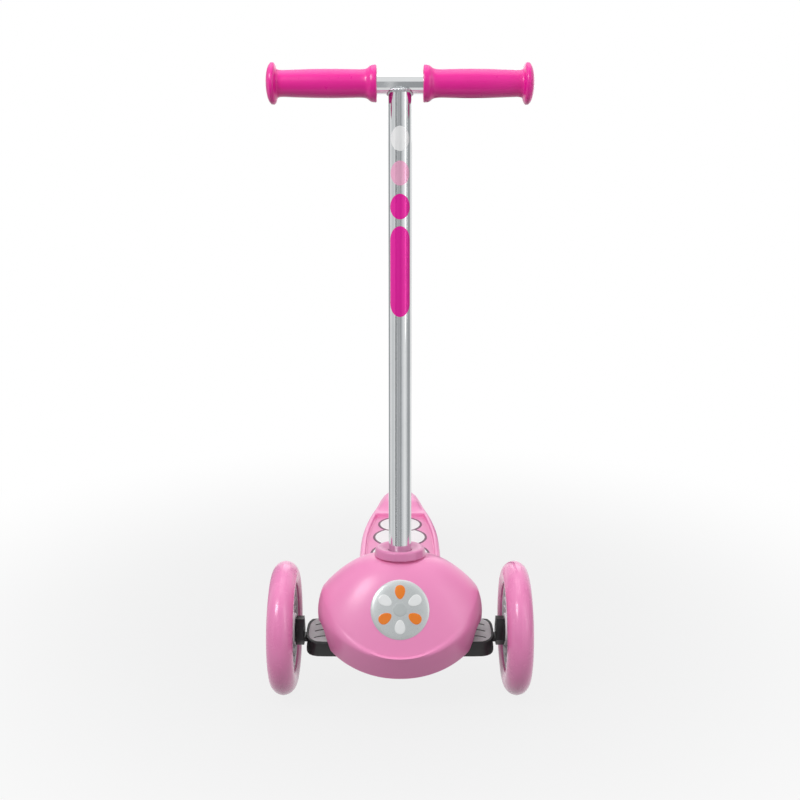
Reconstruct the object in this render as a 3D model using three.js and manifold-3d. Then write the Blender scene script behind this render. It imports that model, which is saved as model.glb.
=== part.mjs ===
// Three wheel kids scooter that steers by leaning: two front wheels on a level axle beam, one rear wheel.
// Millimetres, +Z up. The rider looks along -Y, and the rider's left is +X.
// The origin is on the floor, under the middle of the scooter's length and width.
import * as THREE from "three";
import { mergeVertices } from "three/addons/utils/BufferGeometryUtils.js";
import Module from "manifold-3d";

const wasm = await Module();
wasm.setup();

// Fits and wall thicknesses shared by several pieces
const seatGap = 0.3;
const runGap = 0.5;
const overrun = 4;

// Facets round wheels, tubes and pins, and along small arcs
const wheelSteps = 24;
const tubeSteps = 20;
const pinSteps = 12;
const arcSteps = { corner: 3, room: 4, slot: 5, dome: 4, tip: 6, ear: 8, end: 12 };

// Front wheels: a soft tyre on a ribbed hub, turning on two ball bearings
const frontWheel = {
  radius: 75,
  tyreWidth: 29,
  tyreDepth: 25,
  rimWidth: 20,
  rimWall: 4,
  webWall: 3,
  bossRadius: 16,
  bossWidth: 24,
  ribWall: 2,
  ribCount: 12,
  keyWidth: 7,
  keyHeight: 2.5,
};

// Rear wheel: the same build, smaller
const rearWheel = {
  radius: 40,
  tyreWidth: 26,
  tyreDepth: 14,
  rimWidth: 20,
  rimWall: 3,
  webWall: 3,
  bossRadius: 15,
  bossWidth: 24,
  ribWall: 2,
  ribCount: 8,
  keyWidth: 6,
  keyHeight: 2,
};
const crownShares = { centre: 0.36, steps: 8 };

// Ball bearing, the common small skate size
const bearing = { outer: 11, bore: 4, width: 7, race: 2, shieldDrop: 0.6 };

// Front axle beam: a channel open below, with rounded ends that hold the knuckles, and the lean pivot above it
const beam = {
  half: 84,
  depth: 54,
  bottom: 52,
  top: 75,
  frontDrop: 5.5,
  corner: 5,
  wall: 3,
  endReach: 22.5,
  floor: 4,
  ribWall: 2.5,
  ribAt: [22, 52],
  webHalf: 34,
};
const endSquareShare = 0.66;
const roomShares = { from: -0.36, to: -0.2 };
const track = 262;
const kingpinInset = 33;

// Lean pivot: a bolt through a steel sleeve, held in two rubber bushes that twist
const pivot = {
  height: 105,
  bossRadius: 14.5,
  bossHalf: 30.5,
  boltRadius: 4,
  sleeveWall: 1.7,
  bushWall: 4,
  bushLength: 20,
  headRadius: 7,
  headHeight: 5,
  nutHeight: 6.5,
};

// Steering knuckles, kingpins and tie rod
const knuckle = {
  radius: 9,
  armReach: 20,
  armWall: 4.5,
  armRadius: 5.5,
  pinRadius: 2.5,
  neckHalf: 8,
  plateFrom: 11,
  plateHalf: 14,
  plateWaist: 11.2,
  plateTop: 87,
  plateTip: 5,
};
const kingpin = { radius: 4, headRadius: 7, headHeight: 4 };
const tieRod = { height: 4, width: 8, eyeRadius: 6, blockHalf: 12, blockDepth: 14, slotPlay: 1.2 };
const lever = { pinRadius: 3.5, halfWidth: 8, wall: 4, play: 0.4, windowSide: 15 };

// Wheel bolts and axle
const axleBolt = { radius: 3.7, headRadius: 7.2, headHeight: 4, washerWall: 1.2 };

// Deck: a moulded footboard with a rim round its tread, ribs below and a fender over the rear wheel
const deck = {
  front: 54,
  rear: 482,
  halfWidth: 54,
  bottom: 46,
  top: 80,
  edge: 3.5,
  wall: 3,
  rim: 7,
  treadDrop: 6,
  treadFront: 88,
  treadRear: 384,
  ribFields: 7,
  ribWall: 2.5,
  spineAt: 16,
};
const deckSteps = 20;
const deckOutlineShares = [
  [0, 0.93],
  [0.14, 0.99],
  [0.34, 1],
  [0.55, 0.98],
  [0.71, 0.85],
  [0.84, 0.66],
  [0.93, 0.54],
];
const deckEndShares = [
  [0.985, 0.42],
  [1, 0.2],
];
const fender = { top: 93, front: 385, sideDrop: 5, skinGap: 4, cheekGap: 2.5, lugWall: 8, lugRadius: 12 };
const fenderRiseShares = [
  [0, 0, 1],
  [0.14, 0.3, 0.99],
  [0.3, 0.78, 0.97],
  [0.48, 1, 0.94],
  [0.66, 0.98, 0.9],
  [0.82, 0.78, 0.85],
  [0.93, 0.42, 0.8],
  [1, 0, 0.7],
];
const fenderSquareShare = 0.6;
const lugShares = { from: 1.15, to: 1.85 };
const rearAxleY = 431;

// Front shell: a hollow nose with a soft crease round its face
const shell = {
  halfWidth: 93,
  reach: 78,
  back: 80,
  bottomFront: 46,
  bottomSide: 68,
  creaseFront: 75,
  creaseSide: 121,
  creaseBack: 108,
  neckRadius: 22,
  neckTop: 161,
  wall: 3,
  archFront: 34,
  archTop: 92,
  archCorner: 10,
  around: 36,
  creaseShare: 0.965,
  creaseSideShare: 0.935,
  bottomFrontShare: 0.87,
  bottomSideShare: 0.945,
  squareShare: 0.96,
  shoulderShare: 0.3,
  faceShare: 0.5,
  widestFrontShare: 0.97,
  widestSideShare: 0.42,
};

// Places along the shell's profile: the lower edge is 0, the crease 1 and the neck 2
const shellAlongShares = [0, 0.36, 0.66, 0.96, 1.03, 1.15, 1.3, 1.48, 1.66, 1.84, 2];

// Head bracket: carries the column, hangs the lean pivot and is screwed to the deck
const bracket = {
  earWall: 6,
  earHalf: 17,
  plateBottom: 124,
  plateWall: 6,
  plateHalf: 24,
  flangeWall: 5,
  flangeBack: 66,
  socketWall: 4.8,
  socketTop: 166,
  shoulderRadius: 21.5,
  shoulderWall: 3,
  screwAt: 13,
  screwRadius: 2.5,
  screwHead: 5,
  screwHeadHeight: 2.6,
  screwLength: 16,
};

// Column, crossbar and grips
const rake = 5 * THREE.MathUtils.DEG2RAD;
const column = { radius: 12.7, wall: 1.4 };
const bar = { height: 676, radius: 11.1, wall: 1.3, half: 133 };
const weld = { length: 7, flare: 6, skin: 1 };
const collar = { radius: 27.5, top: 171, lip: 4, flare: 1.5, edge: 1.5, spigot: 6 };
const grip = {
  outer: 142,
  inner: 24.5,
  bodyRadius: 14.6,
  neckRadius: 13.7,
  flangeRadius: 22,
  flangeWall: 5,
  dome: 6,
  collarRadius: 19.6,
  collarWall: 8,
  collarSlope: 5,
};
const gripShares = { collarEdge: 0.22, flangeEdge: 0.33, dome: 0.985 };
const columnBolt = { radius: 2.5, height: 141, headRadius: 4.6, headHeight: 3, nutHeight: 4 };

// Grey treads let into the top of the axle beam, with three curved grooves each
const inlay = {
  inner: 62,
  border: 2.5,
  wall: 2.4,
  grooveWidth: 1.8,
  grooveDepth: 1.2,
  grooveRadius: 26,
  grooveSpan: 1.05,
  groovePitch: 13,
  grooves: 3,
};

// Places worked out from the sizes above
const wheelX = track / 2;
const kingpinX = wheelX - kingpinInset;
const rodBottom = beam.bottom + beam.floor + runGap;
const rodTop = rodBottom + tieRod.height;
const rodZ = (rodBottom + rodTop) / 2;
const beamBack = beam.depth / 2;
const frameShift = -(deck.rear - shell.reach) / 2;
const bushInner = pivot.boltRadius + pivot.sleeveWall + 2 * seatGap;
const earFrom = pivot.bossHalf + runGap;
const earTo = earFrom + bracket.earWall;
const screwY = (earTo + bracket.flangeBack) / 2;
const armBottom = rodTop + runGap;
const armTop = armBottom + knuckle.armWall;
const boltFrom = knuckle.plateFrom + seatGap;

const paint = (color, roughness, metalness) => new THREE.MeshStandardMaterial({ color, roughness, metalness });
const pink = () => paint(0xf48fc4, 0.35, 0);
const magenta = () => paint(0xe6008c, 0.4, 0);
const white = () => paint(0xf2f2f2, 0.4, 0);
const black = () => paint(0x1c1c1c, 0.5, 0);
const grey = () => paint(0x9a9c9c, 0.5, 0.2);
const chrome = () => paint(0xc9cccd, 0.12, 1);
const steel = () => paint(0xa8abad, 0.35, 1);
const rubber = () => paint(0x2a2a2a, 0.8, 0);

// A geometry as a closed solid, turned right side out
function toSolid(geometry) {
  const bare = new THREE.BufferGeometry().setAttribute("position", geometry.getAttribute("position"));
  if (geometry.index) bare.setIndex(geometry.index);
  const merged = mergeVertices(bare, 1e-4);
  const solid = new wasm.Manifold(
    new wasm.Mesh({
      numProp: 3,
      vertProperties: merged.attributes.position.array,
      triVerts: new Uint32Array(merged.index.array),
    }),
  );
  if (solid.volume() > 0) return solid;
  const turned = new Uint32Array(merged.index.array);
  for (let i = 0; i < turned.length; i += 3) {
    [turned[i + 1], turned[i + 2]] = [turned[i + 2], turned[i + 1]];
  }
  return new wasm.Manifold(
    new wasm.Mesh({ numProp: 3, vertProperties: merged.attributes.position.array, triVerts: turned }),
  );
}

function toGeometry(solid) {
  const mesh = solid.getMesh();
  const geometry = new THREE.BufferGeometry();
  geometry.setAttribute("position", new THREE.BufferAttribute(mesh.vertProperties, 3));
  geometry.setIndex(new THREE.BufferAttribute(mesh.triVerts, 1));
  geometry.computeVertexNormals();
  return geometry;
}

const join = (first, ...rest) => rest.reduce((sum, next) => sum.add(next), first);
const cut = (first, ...rest) => rest.reduce((left, next) => left.subtract(next), first);

// Basic closed forms, each as a solid
function block(x0, x1, y0, y1, z0, z1) {
  const geometry = new THREE.BoxGeometry(x1 - x0, y1 - y0, z1 - z0);
  geometry.translate((x0 + x1) / 2, (y0 + y1) / 2, (z0 + z1) / 2);
  return toSolid(geometry);
}

// A profile of [radius, height along the axis] points, revolved round X, Y or Z
function revolve(points, steps, axis) {
  const profile = points.map(([r, h]) => new THREE.Vector2(r, h));
  const geometry = new THREE.LatheGeometry(profile, steps);
  if (axis === "x") geometry.rotateZ(-Math.PI / 2);
  if (axis === "z") geometry.rotateX(Math.PI / 2);
  return toSolid(geometry);
}

const closedProfile = (points) => [...points, points[0]];

function rod(radius, from, to, axis, steps = pinSteps) {
  return revolve([[0, from], [radius, from], [radius, to], [0, to]], steps, axis);
}

function pipe(outer, inner, from, to, axis, steps = pinSteps) {
  const section = [[inner, from], [outer, from], [outer, to], [inner, to]];
  return revolve(closedProfile(section), steps, axis);
}

// An outline drawn in Y and Z, extruded along X
function slabX(points, x0, x1) {
  const shape = new THREE.Shape(points.map(([y, z]) => new THREE.Vector2(y, z)));
  const geometry = new THREE.ExtrudeGeometry(shape, { depth: x1 - x0, bevelEnabled: false });
  geometry.rotateY(Math.PI / 2).rotateX(Math.PI / 2);
  geometry.translate(x0, 0, 0);
  return toSolid(geometry);
}

// An outline drawn in X and Z, extruded along Y
function slabY(points, y0, y1) {
  const shape = new THREE.Shape(points.map(([x, z]) => new THREE.Vector2(x, z)));
  const geometry = new THREE.ExtrudeGeometry(shape, { depth: y1 - y0, bevelEnabled: false });
  geometry.rotateX(Math.PI / 2);
  geometry.translate(0, y1, 0);
  return toSolid(geometry);
}

// An outline drawn in X and Y, extruded along Z, with an optional rounded edge
function slabZ(points, z0, z1, edge = 0) {
  const shape = new THREE.Shape(points.map(([x, y]) => new THREE.Vector2(x, y)));
  const options = { depth: z1 - z0 - 2 * edge, bevelEnabled: edge > 0, bevelThickness: edge };
  Object.assign(options, { bevelSize: edge, bevelOffset: -edge, bevelSegments: 2 });
  const geometry = new THREE.ExtrudeGeometry(shape, options);
  geometry.translate(0, 0, z0 + edge);
  return toSolid(geometry);
}

const moved = (solid, x, y, z) => solid.translate([x, y, z]);
const mirrored = (solid, side) => (side > 0 ? solid : solid.mirror([1, 0, 0]));

// Points of an arc in a plane, as pairs
function arc(cx, cy, radius, from, to, steps) {
  return Array.from({ length: steps + 1 }, (_, i) => {
    const angle = from + ((to - from) * i) / steps;
    return [cx + radius * Math.cos(angle), cy + radius * Math.sin(angle)];
  });
}

// Rings of points joined into a skin; with capped the first and last ring are closed by a fan
function loft(rings, capped) {
  const count = rings[0].length;
  const points = rings.flat();
  const faces = [];
  const last = capped ? rings.length - 1 : rings.length;
  for (let i = 0; i < last; i++) {
    const next = (i + 1) % rings.length;
    for (let j = 0; j < count; j++) {
      const k = (j + 1) % count;
      const a = i * count + j;
      const b = i * count + k;
      const c = next * count + j;
      const d = next * count + k;
      faces.push(a, b, d, a, d, c);
    }
  }
  if (capped) {
    for (const ring of [0, rings.length - 1]) {
      const centre = rings[ring].reduce((sum, p) => sum.add(p), new THREE.Vector3()).divideScalar(count);
      points.push(centre);
      const hub = points.length - 1;
      for (let j = 0; j < count; j++) {
        const a = ring * count + j;
        const b = ring * count + ((j + 1) % count);
        if (ring === 0) faces.push(a, hub, b);
        else faces.push(a, b, hub);
      }
    }
  }
  const geometry = new THREE.BufferGeometry().setFromPoints(points);
  geometry.setIndex(faces);
  return toSolid(geometry);
}

// Wheel pieces, centred on the origin and turning round X
const rimRadius = (wheel) => wheel.radius - wheel.tyreDepth;

function tyreSolid(wheel) {
  const seat = rimRadius(wheel) + seatGap;
  const centre = seat + wheel.tyreDepth * crownShares.centre;
  const reach = wheel.radius - centre;
  const halfWidth = wheel.tyreWidth / 2;
  const lip = Math.acos((seat - centre) / reach);
  const crown = Array.from({ length: crownShares.steps + 1 }, (_, i) => {
    const angle = -lip + (2 * lip * i) / crownShares.steps;
    return [centre + reach * Math.cos(angle), halfWidth * Math.sin(angle)];
  });
  const keyHalf = wheel.keyWidth / 2 + seatGap;
  const groove = seat + wheel.keyHeight;
  const seatPoints = [[seat, keyHalf], [groove, keyHalf], [groove, -keyHalf], [seat, -keyHalf]];
  return revolve(closedProfile([...crown, ...seatPoints]), wheelSteps, "x");
}

function hubSolid(wheel) {
  const rim = rimRadius(wheel);
  const rimInner = rim - wheel.rimWall;
  const halfRim = wheel.rimWidth / 2;
  const halfKey = wheel.keyWidth / 2;
  const halfWeb = wheel.webWall / 2;
  const halfBoss = wheel.bossWidth / 2;
  const bore = bearing.outer - bearing.race;
  const pocket = bearing.outer + seatGap;
  const step = halfBoss - bearing.width - seatGap;
  const side = [
    [pocket, step],
    [pocket, halfBoss],
    [wheel.bossRadius, halfBoss],
    [wheel.bossRadius, halfWeb],
    [rimInner, halfWeb],
    [rimInner, halfRim],
    [rim, halfRim],
    [rim, halfKey],
    [rim + wheel.keyHeight, halfKey],
  ];
  const outline = [[bore, step], ...side];
  const other = [...outline].reverse().map(([r, h]) => [r, -h]);
  const body = revolve(closedProfile([...outline, ...other]), wheelSteps, "x");
  const middle = (wheel.bossRadius + rimInner) / 2;
  const length = rimInner - wheel.bossRadius + wheel.rimWall;
  const depth = wheel.rimWidth - wheel.webWall;
  const ribs = Array.from({ length: wheel.ribCount }, (_, i) => {
    const rib = new THREE.BoxGeometry(depth, wheel.ribWall, length);
    rib.translate(0, 0, middle).rotateX((2 * Math.PI * i) / wheel.ribCount);
    return toSolid(rib);
  });
  return join(body, ...ribs);
}

function bearingSolid() {
  const half = bearing.width / 2;
  const face = half - bearing.shieldDrop;
  const inner = bearing.bore + bearing.race;
  const outer = bearing.outer - bearing.race;
  const side = [[bearing.bore, half], [inner, face], [outer, face], [bearing.outer, half]];
  const other = [...side].reverse().map(([r, h]) => [r, -h]);
  return revolve(closedProfile([...side, ...other]), pinSteps, "x");
}

const bearingOffset = (wheel) => (wheel.bossWidth - bearing.width) / 2;

function spacerSolid(wheel) {
  const half = bearingOffset(wheel) - bearing.width / 2 - seatGap;
  const inner = axleBolt.radius + seatGap;
  return pipe(bearing.bore + bearing.race, inner, -half, half, "x");
}

// Hexagon head or nut, as a short six-sided rod
function hex(radius, from, to, axis) {
  return rod(radius, from, to, axis, 6);
}

// Front axle beam, seen along X
function beamSection() {
  const front = -beamBack;
  const back = beamBack;
  const low = beam.top - beam.frontDrop;
  const c = beam.corner;
  return [
    [front, beam.bottom],
    [back, beam.bottom],
    ...arc(back - c, beam.top - c, c, 0, Math.PI / 2, arcSteps.corner),
    ...arc(front + c, low - c, c, Math.PI / 2, Math.PI, arcSteps.corner),
  ];
}

// The beam's top at a place along Y, between its rounded corners
function beamTopAt(y) {
  const front = -beamBack + beam.corner;
  const back = beamBack - beam.corner;
  return beam.top - (beam.frontDrop * (back - y)) / (back - front);
}

// A squared half ellipse in plan, drawn in from the beam's end by an inset
function endArc(inset, from, to, steps) {
  const square = (value) => Math.sign(value) * Math.abs(value) ** endSquareShare;
  return arc(0, 0, 1, from, to, steps).map(([x, y]) => [
    beam.half + (beam.endReach - inset) * square(Math.max(x, 0)),
    (beamBack - inset) * square(y),
  ]);
}

const endOutline = (inset, inner) => [
  [inner, -beamBack + inset],
  ...endArc(inset, -Math.PI / 2, Math.PI / 2, arcSteps.end),
  [inner, beamBack - inset],
];

// The space over a plane that lies a given drop below the beam's sloping top
function overBeamTop(drop) {
  const front = -beamBack - overrun;
  const back = beamBack + overrun;
  const roof = beam.top + overrun + beam.corner;
  const low = [[front, beamTopAt(front) - drop], [back, beamTopAt(back) - drop]];
  return slabX([...low, [back, roof], [front, roof]], 0, kingpinX + beam.endReach);
}

// Room in the beam's end for the knuckle to swing and for the tie rod's eye, open outwards and backwards
function knuckleRoom(side) {
  const inner = kingpinX - knuckle.armReach;
  const outline = [
    [inner, -knuckle.radius - beam.floor],
    ...endArc(beam.wall, Math.PI * roomShares.from, Math.PI * roomShares.to, arcSteps.room),
    [kingpinX + beam.endReach, -knuckle.plateHalf],
    [kingpinX + beam.endReach, beamBack + overrun],
    [beam.half, beamBack + overrun],
    [beam.half, beamBack - beam.wall],
    [inner, beamBack - beam.wall],
  ];
  return mirrored(slabZ(outline, beam.bottom + beam.floor, armTop + runGap), side);
}

function beamSolid() {
  const outline = [...endOutline(0, 0), ...endOutline(0, 0).reverse().map(([x, y]) => [-x, y])];
  const plan = slabZ(outline, beam.bottom - overrun, beam.top + overrun);
  const bar = slabX(beamSection(), -beam.half - beam.endReach, beam.half + beam.endReach).intersect(plan);
  const inner = beamBack - beam.wall;
  const roof = (y) => beamTopAt(y) - inlay.wall - seatGap - beam.wall;
  const section = [
    [-inner, beam.bottom - overrun],
    [inner, beam.bottom - overrun],
    [inner, roof(inner)],
    [-inner, roof(-inner)],
  ];
  const room = kingpinX - knuckle.armReach;
  const channel = slabX(section, -room, room);
  const ribTop = roof(0);
  const halfRib = beam.ribWall / 2;
  const ribs = [-1, 1].flatMap((side) =>
    beam.ribAt.map((x) => block(side * x - halfRib, side * x + halfRib, -inner, 0, beam.bottom, ribTop)),
  );
  const web = [
    [-beam.webHalf, ribTop],
    [beam.webHalf, ribTop],
    [pivot.bossRadius, pivot.height],
    [-pivot.bossRadius, pivot.height],
  ];
  const pedestal = cut(slabY(web, -inner, inner), channel);
  const boss = rod(pivot.bossRadius, -pivot.bossHalf, pivot.bossHalf, "y", tubeSteps);
  const bushRoom = bushInner + pivot.bushWall + seatGap;
  const bore = rod(bushRoom, -pivot.bossHalf - overrun, pivot.bossHalf + overrun, "y", tubeSteps);
  const pivotBore = moved(bore, 0, 0, pivot.height);
  const window = block(
    -lever.windowSide,
    lever.windowSide,
    inner - overrun,
    beamBack + overrun,
    beam.bottom - overrun,
    rodZ + lever.pinRadius + lever.play + runGap,
  );
  let body = join(cut(bar, channel), ...ribs, pedestal, moved(boss, 0, 0, pivot.height));
  for (const side of [-1, 1]) {
    const hole = rod(kingpin.radius + seatGap, beam.bottom - overrun, beam.top + overrun, "z");
    const pocket = slabZ(endOutline(inlay.border, inlay.inner - seatGap), beam.bottom, beam.top + overrun);
    const recess = pocket.intersect(overBeamTop(inlay.wall + seatGap));
    body = cut(body, moved(hole, side * kingpinX, 0, 0), mirrored(recess, side), knuckleRoom(side));
  }
  return cut(body, pivotBore, window);
}

function inlaySolid(side) {
  const outline = endOutline(inlay.border + seatGap, inlay.inner);
  const above = slabZ(outline, beam.bottom, beam.top + overrun).intersect(overBeamTop(inlay.wall));
  const plate = cut(above, overBeamTop(0));
  const grooves = Array.from({ length: inlay.grooves }, (_, i) => {
    const y = inlay.groovePitch * (i - (inlay.grooves - 1) / 2) - inlay.grooveRadius;
    const from = Math.PI / 2 - inlay.grooveSpan / 2;
    const to = Math.PI / 2 + inlay.grooveSpan / 2;
    const outer = arc(beam.half, y, inlay.grooveRadius + inlay.grooveWidth / 2, from, to, arcSteps.slot);
    const inner = arc(beam.half, y, inlay.grooveRadius - inlay.grooveWidth / 2, to, from, arcSteps.slot);
    const groove = slabZ([...outer, ...inner], beam.bottom, beam.top + overrun);
    return groove.intersect(overBeamTop(inlay.grooveDepth));
  });
  return mirrored(cut(plate, ...grooves), side);
}

// Steering knuckle, its kingpin on the origin's Z line
function knuckleSolid(side) {
  const post = rod(knuckle.radius, armBottom, armTop, "z", tubeSteps);
  const face = kingpinInset - frontWheel.bossWidth / 2 - runGap;
  const neckTo = (knuckle.plateFrom + face) / 2;
  const neck = block(0, neckTo, -knuckle.neckHalf, knuckle.neckHalf, armBottom, armTop);
  const half = knuckle.plateHalf;
  const tip = knuckle.plateTip;
  const waist = knuckle.plateWaist;
  const plateOutline = [
    [-half / 2, rodBottom],
    [half / 2, rodBottom],
    [half, armTop],
    [waist, frontWheel.radius],
    [tip, knuckle.plateTop],
    [-tip, knuckle.plateTop],
    [-waist, frontWheel.radius],
    [-half, armTop],
  ];
  const plate = slabX(plateOutline, knuckle.plateFrom, face);
  const tipArc = arc(0, knuckle.armReach, knuckle.armRadius, 0, Math.PI, arcSteps.tip);
  const outline = [[-knuckle.armRadius, 0], [knuckle.armRadius, 0], ...tipArc];
  const arm = slabZ(outline, armBottom, armTop);
  const pinShaft = rod(knuckle.pinRadius, rodBottom, armBottom + knuckle.armWall / 2, "z");
  const pin = moved(pinShaft, 0, knuckle.armReach, 0);
  const bore = rod(kingpin.radius + seatGap, armBottom - overrun, armTop + overrun, "z");
  const boltHole = rod(axleBolt.radius + seatGap, boltFrom - seatGap, face + overrun, "x");
  const body = join(post, neck, plate, arm, pin);
  return mirrored(cut(body, bore, moved(boltHole, 0, 0, frontWheel.radius)), side);
}

function kingpinSolid() {
  const headTop = beam.bottom - seatGap;
  const top = beamTopAt(-kingpin.radius) - inlay.wall - seatGap;
  const shaft = rod(kingpin.radius, headTop - kingpin.headHeight / 2, top, "z");
  const head = rod(kingpin.headRadius, headTop - kingpin.headHeight, headTop, "z");
  return join(shaft, head);
}

// Wheel bolt, held in the knuckle's plate, drawn from the kingpin's line
function wheelBoltSolid(side) {
  const head = kingpinInset + frontWheel.bossWidth / 2 + runGap;
  const washer = head + axleBolt.washerWall;
  const profile = [
    [0, boltFrom],
    [axleBolt.radius, boltFrom],
    [axleBolt.radius, head],
    [axleBolt.headRadius, head],
    [axleBolt.headRadius, washer],
    [0, washer],
  ];
  const shaft = revolve(profile, pinSteps, "x");
  const top = hex(axleBolt.headRadius, head + axleBolt.washerWall / 2, washer + axleBolt.headHeight, "x");
  return mirrored(join(shaft, top), side);
}

function tieRodSolid() {
  const y = knuckle.armReach;
  const half = tieRod.width / 2;
  const [low, top] = [rodBottom, rodTop];
  const length = block(-kingpinX, kingpinX, y - half, y + half, low, top);
  const front = y - tieRod.blockDepth / 2;
  const middle = block(-tieRod.blockHalf, tieRod.blockHalf, front, y + half, low, top);
  const slotHalf = lever.pinRadius + lever.play;
  const slot = block(-slotHalf, slotHalf, y - half - seatGap, y + half + overrun, low - overrun, top + overrun);
  let body = cut(join(length, middle), slot);
  for (const side of [-1, 1]) {
    const eye = moved(rod(tieRod.eyeRadius, low, top, "z", tubeSteps), side * kingpinX, y, 0);
    const r = knuckle.pinRadius + seatGap;
    const upper = arc(side * kingpinX, y + tieRod.slotPlay, r, 0, Math.PI, arcSteps.slot);
    const lower = arc(side * kingpinX, y - tieRod.slotPlay, r, Math.PI, 2 * Math.PI, arcSteps.slot);
    body = cut(join(body, eye), slabZ([...upper, ...lower], low - overrun, top + overrun));
  }
  return body;
}

// Lean pivot pieces
function pivotBoltSolid() {
  const face = earTo + seatGap;
  const shaft = rod(pivot.boltRadius, -face - overrun / 2, face + pivot.nutHeight, "y");
  const head = hex(pivot.headRadius, -face - pivot.headHeight, -face, "y");
  return moved(join(shaft, head), 0, 0, pivot.height);
}

function pivotNutSolid() {
  const face = earTo + seatGap;
  const nut = hex(pivot.headRadius, face, face + pivot.nutHeight, "y");
  const hole = rod(pivot.boltRadius + seatGap, face - overrun, face + pivot.nutHeight + overrun, "y");
  return moved(cut(nut, hole), 0, 0, pivot.height);
}

function pivotSleeveSolid() {
  const inner = pivot.boltRadius + seatGap;
  return moved(pipe(inner + pivot.sleeveWall, inner, -pivot.bossHalf, pivot.bossHalf, "y"), 0, 0, pivot.height);
}

function bushSolid(end) {
  const from = pivot.bossHalf - pivot.bushLength;
  const bush = pipe(bushInner + pivot.bushWall, bushInner, from, pivot.bossHalf, "y", tubeSteps);
  return moved(end > 0 ? bush : bush.mirror([0, 1, 0]), 0, 0, pivot.height);
}

// The steering column's line: raked back, through the lean pivot
function onColumn(solid) {
  return solid
    .translate([0, 0, -pivot.height])
    .rotate([-rake * THREE.MathUtils.RAD2DEG, 0, 0])
    .translate([0, 0, pivot.height]);
}

function bracketSolid() {
  const socket = column.radius + seatGap + bracket.socketWall;
  const plateTop = bracket.plateBottom + bracket.plateWall;
  const flangeBottom = deck.top + seatGap;
  const flangeTop = flangeBottom + bracket.flangeWall;
  const half = bracket.earHalf;
  const ear = [
    [-half, plateTop],
    [-half, pivot.height],
    ...arc(0, pivot.height, half, Math.PI, 2 * Math.PI, arcSteps.ear).slice(1, -1),
    [half, pivot.height],
    [half, plateTop],
  ];
  const frontEar = slabY(ear, -earTo, -earFrom);
  const backEar = slabY(ear, earFrom, earTo);
  const wide = bracket.plateHalf;
  const plate = block(-wide, wide, -earTo, earTo, bracket.plateBottom, plateTop);
  const flange = block(-wide, wide, earFrom, bracket.flangeBack, flangeBottom, flangeTop);
  const gusset = [
    [earFrom, flangeBottom],
    [bracket.flangeBack, flangeBottom],
    [bracket.flangeBack, flangeTop],
    [earTo, plateTop],
    [earFrom, plateTop],
  ];
  const gussets = [-1, 1].map((side) => {
    const edge = side * (wide - bracket.flangeWall / 2);
    return slabX(gusset, edge - bracket.flangeWall / 2, edge + bracket.flangeWall / 2);
  });
  const post = onColumn(rod(socket, plateTop - overrun / 2, bracket.socketTop, "z", tubeSteps));
  const shoulderTop = shell.neckTop - shell.wall - 3 * seatGap;
  const cone = [
    [0, plateTop],
    [socket, plateTop],
    [socket, shoulderTop - 2 * bracket.shoulderWall],
    [bracket.shoulderRadius, shoulderTop - bracket.shoulderWall],
    [bracket.shoulderRadius, shoulderTop],
    [0, shoulderTop],
  ];
  const shoulder = onColumn(revolve(cone, tubeSteps, "z"));
  const well = onColumn(rod(column.radius + seatGap, plateTop, bracket.socketTop + overrun, "z", tubeSteps));
  const bore = rod(pivot.boltRadius + seatGap, -earTo - overrun, earTo + overrun, "y");
  const crossBore = rod(columnBolt.radius + seatGap, -2 * socket, 2 * socket, "y");
  const cross = onColumn(moved(crossBore, 0, 0, columnBolt.height));
  const holes = [-1, 1].map((side) => {
    const hole = rod(bracket.screwRadius + seatGap, flangeBottom - overrun, flangeTop + overrun, "z");
    return moved(hole, side * bracket.screwAt, screwY, 0);
  });
  const solid = join(frontEar, backEar, plate, flange, ...gussets, post, shoulder);
  return cut(solid, well, moved(bore, 0, 0, pivot.height), cross, ...holes);
}

function bracketScrewSolid(side) {
  const seat = deck.top + seatGap + bracket.flangeWall + seatGap;
  const shaft = rod(bracket.screwRadius, seat - bracket.screwLength, seat + bracket.screwHeadHeight / 2, "z");
  const head = rod(bracket.screwHead, seat, seat + bracket.screwHeadHeight, "z");
  return moved(join(shaft, head), side * bracket.screwAt, screwY, 0);
}

// Lever on the back of the bracket, whose pin drives the tie rod
function leverSolid() {
  const face = earTo + seatGap;
  const top = deck.top + seatGap - runGap;
  const tip = arc(0, rodZ, lever.halfWidth, Math.PI, 2 * Math.PI, arcSteps.tip);
  const plate = slabY([...tip, [lever.halfWidth, top], [-lever.halfWidth, top]], face, face + lever.wall);
  const pin = rod(lever.pinRadius, knuckle.armReach - tieRod.width / 2, face + lever.wall / 2, "y");
  return join(plate, moved(pin, 0, 0, rodZ));
}

// Column tube, crossbar, weld and grips, drawn upright on the column's line
function columnSolid() {
  const floor = bracket.plateBottom + bracket.plateWall + seatGap;
  const tube = pipe(column.radius, column.radius - column.wall, floor, bar.height, "z", tubeSteps);
  const reach = 2 * column.radius;
  const saddle = rod(bar.radius + seatGap, -reach, reach, "x", tubeSteps);
  const cross = rod(columnBolt.radius + seatGap, -reach, reach, "y");
  return onColumn(cut(tube, moved(saddle, 0, 0, bar.height), moved(cross, 0, 0, columnBolt.height)));
}

function crossbarSolid() {
  const tube = pipe(bar.radius, bar.radius - bar.wall, -bar.half, bar.half, "x", tubeSteps);
  return onColumn(moved(tube, 0, 0, bar.height));
}

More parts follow.
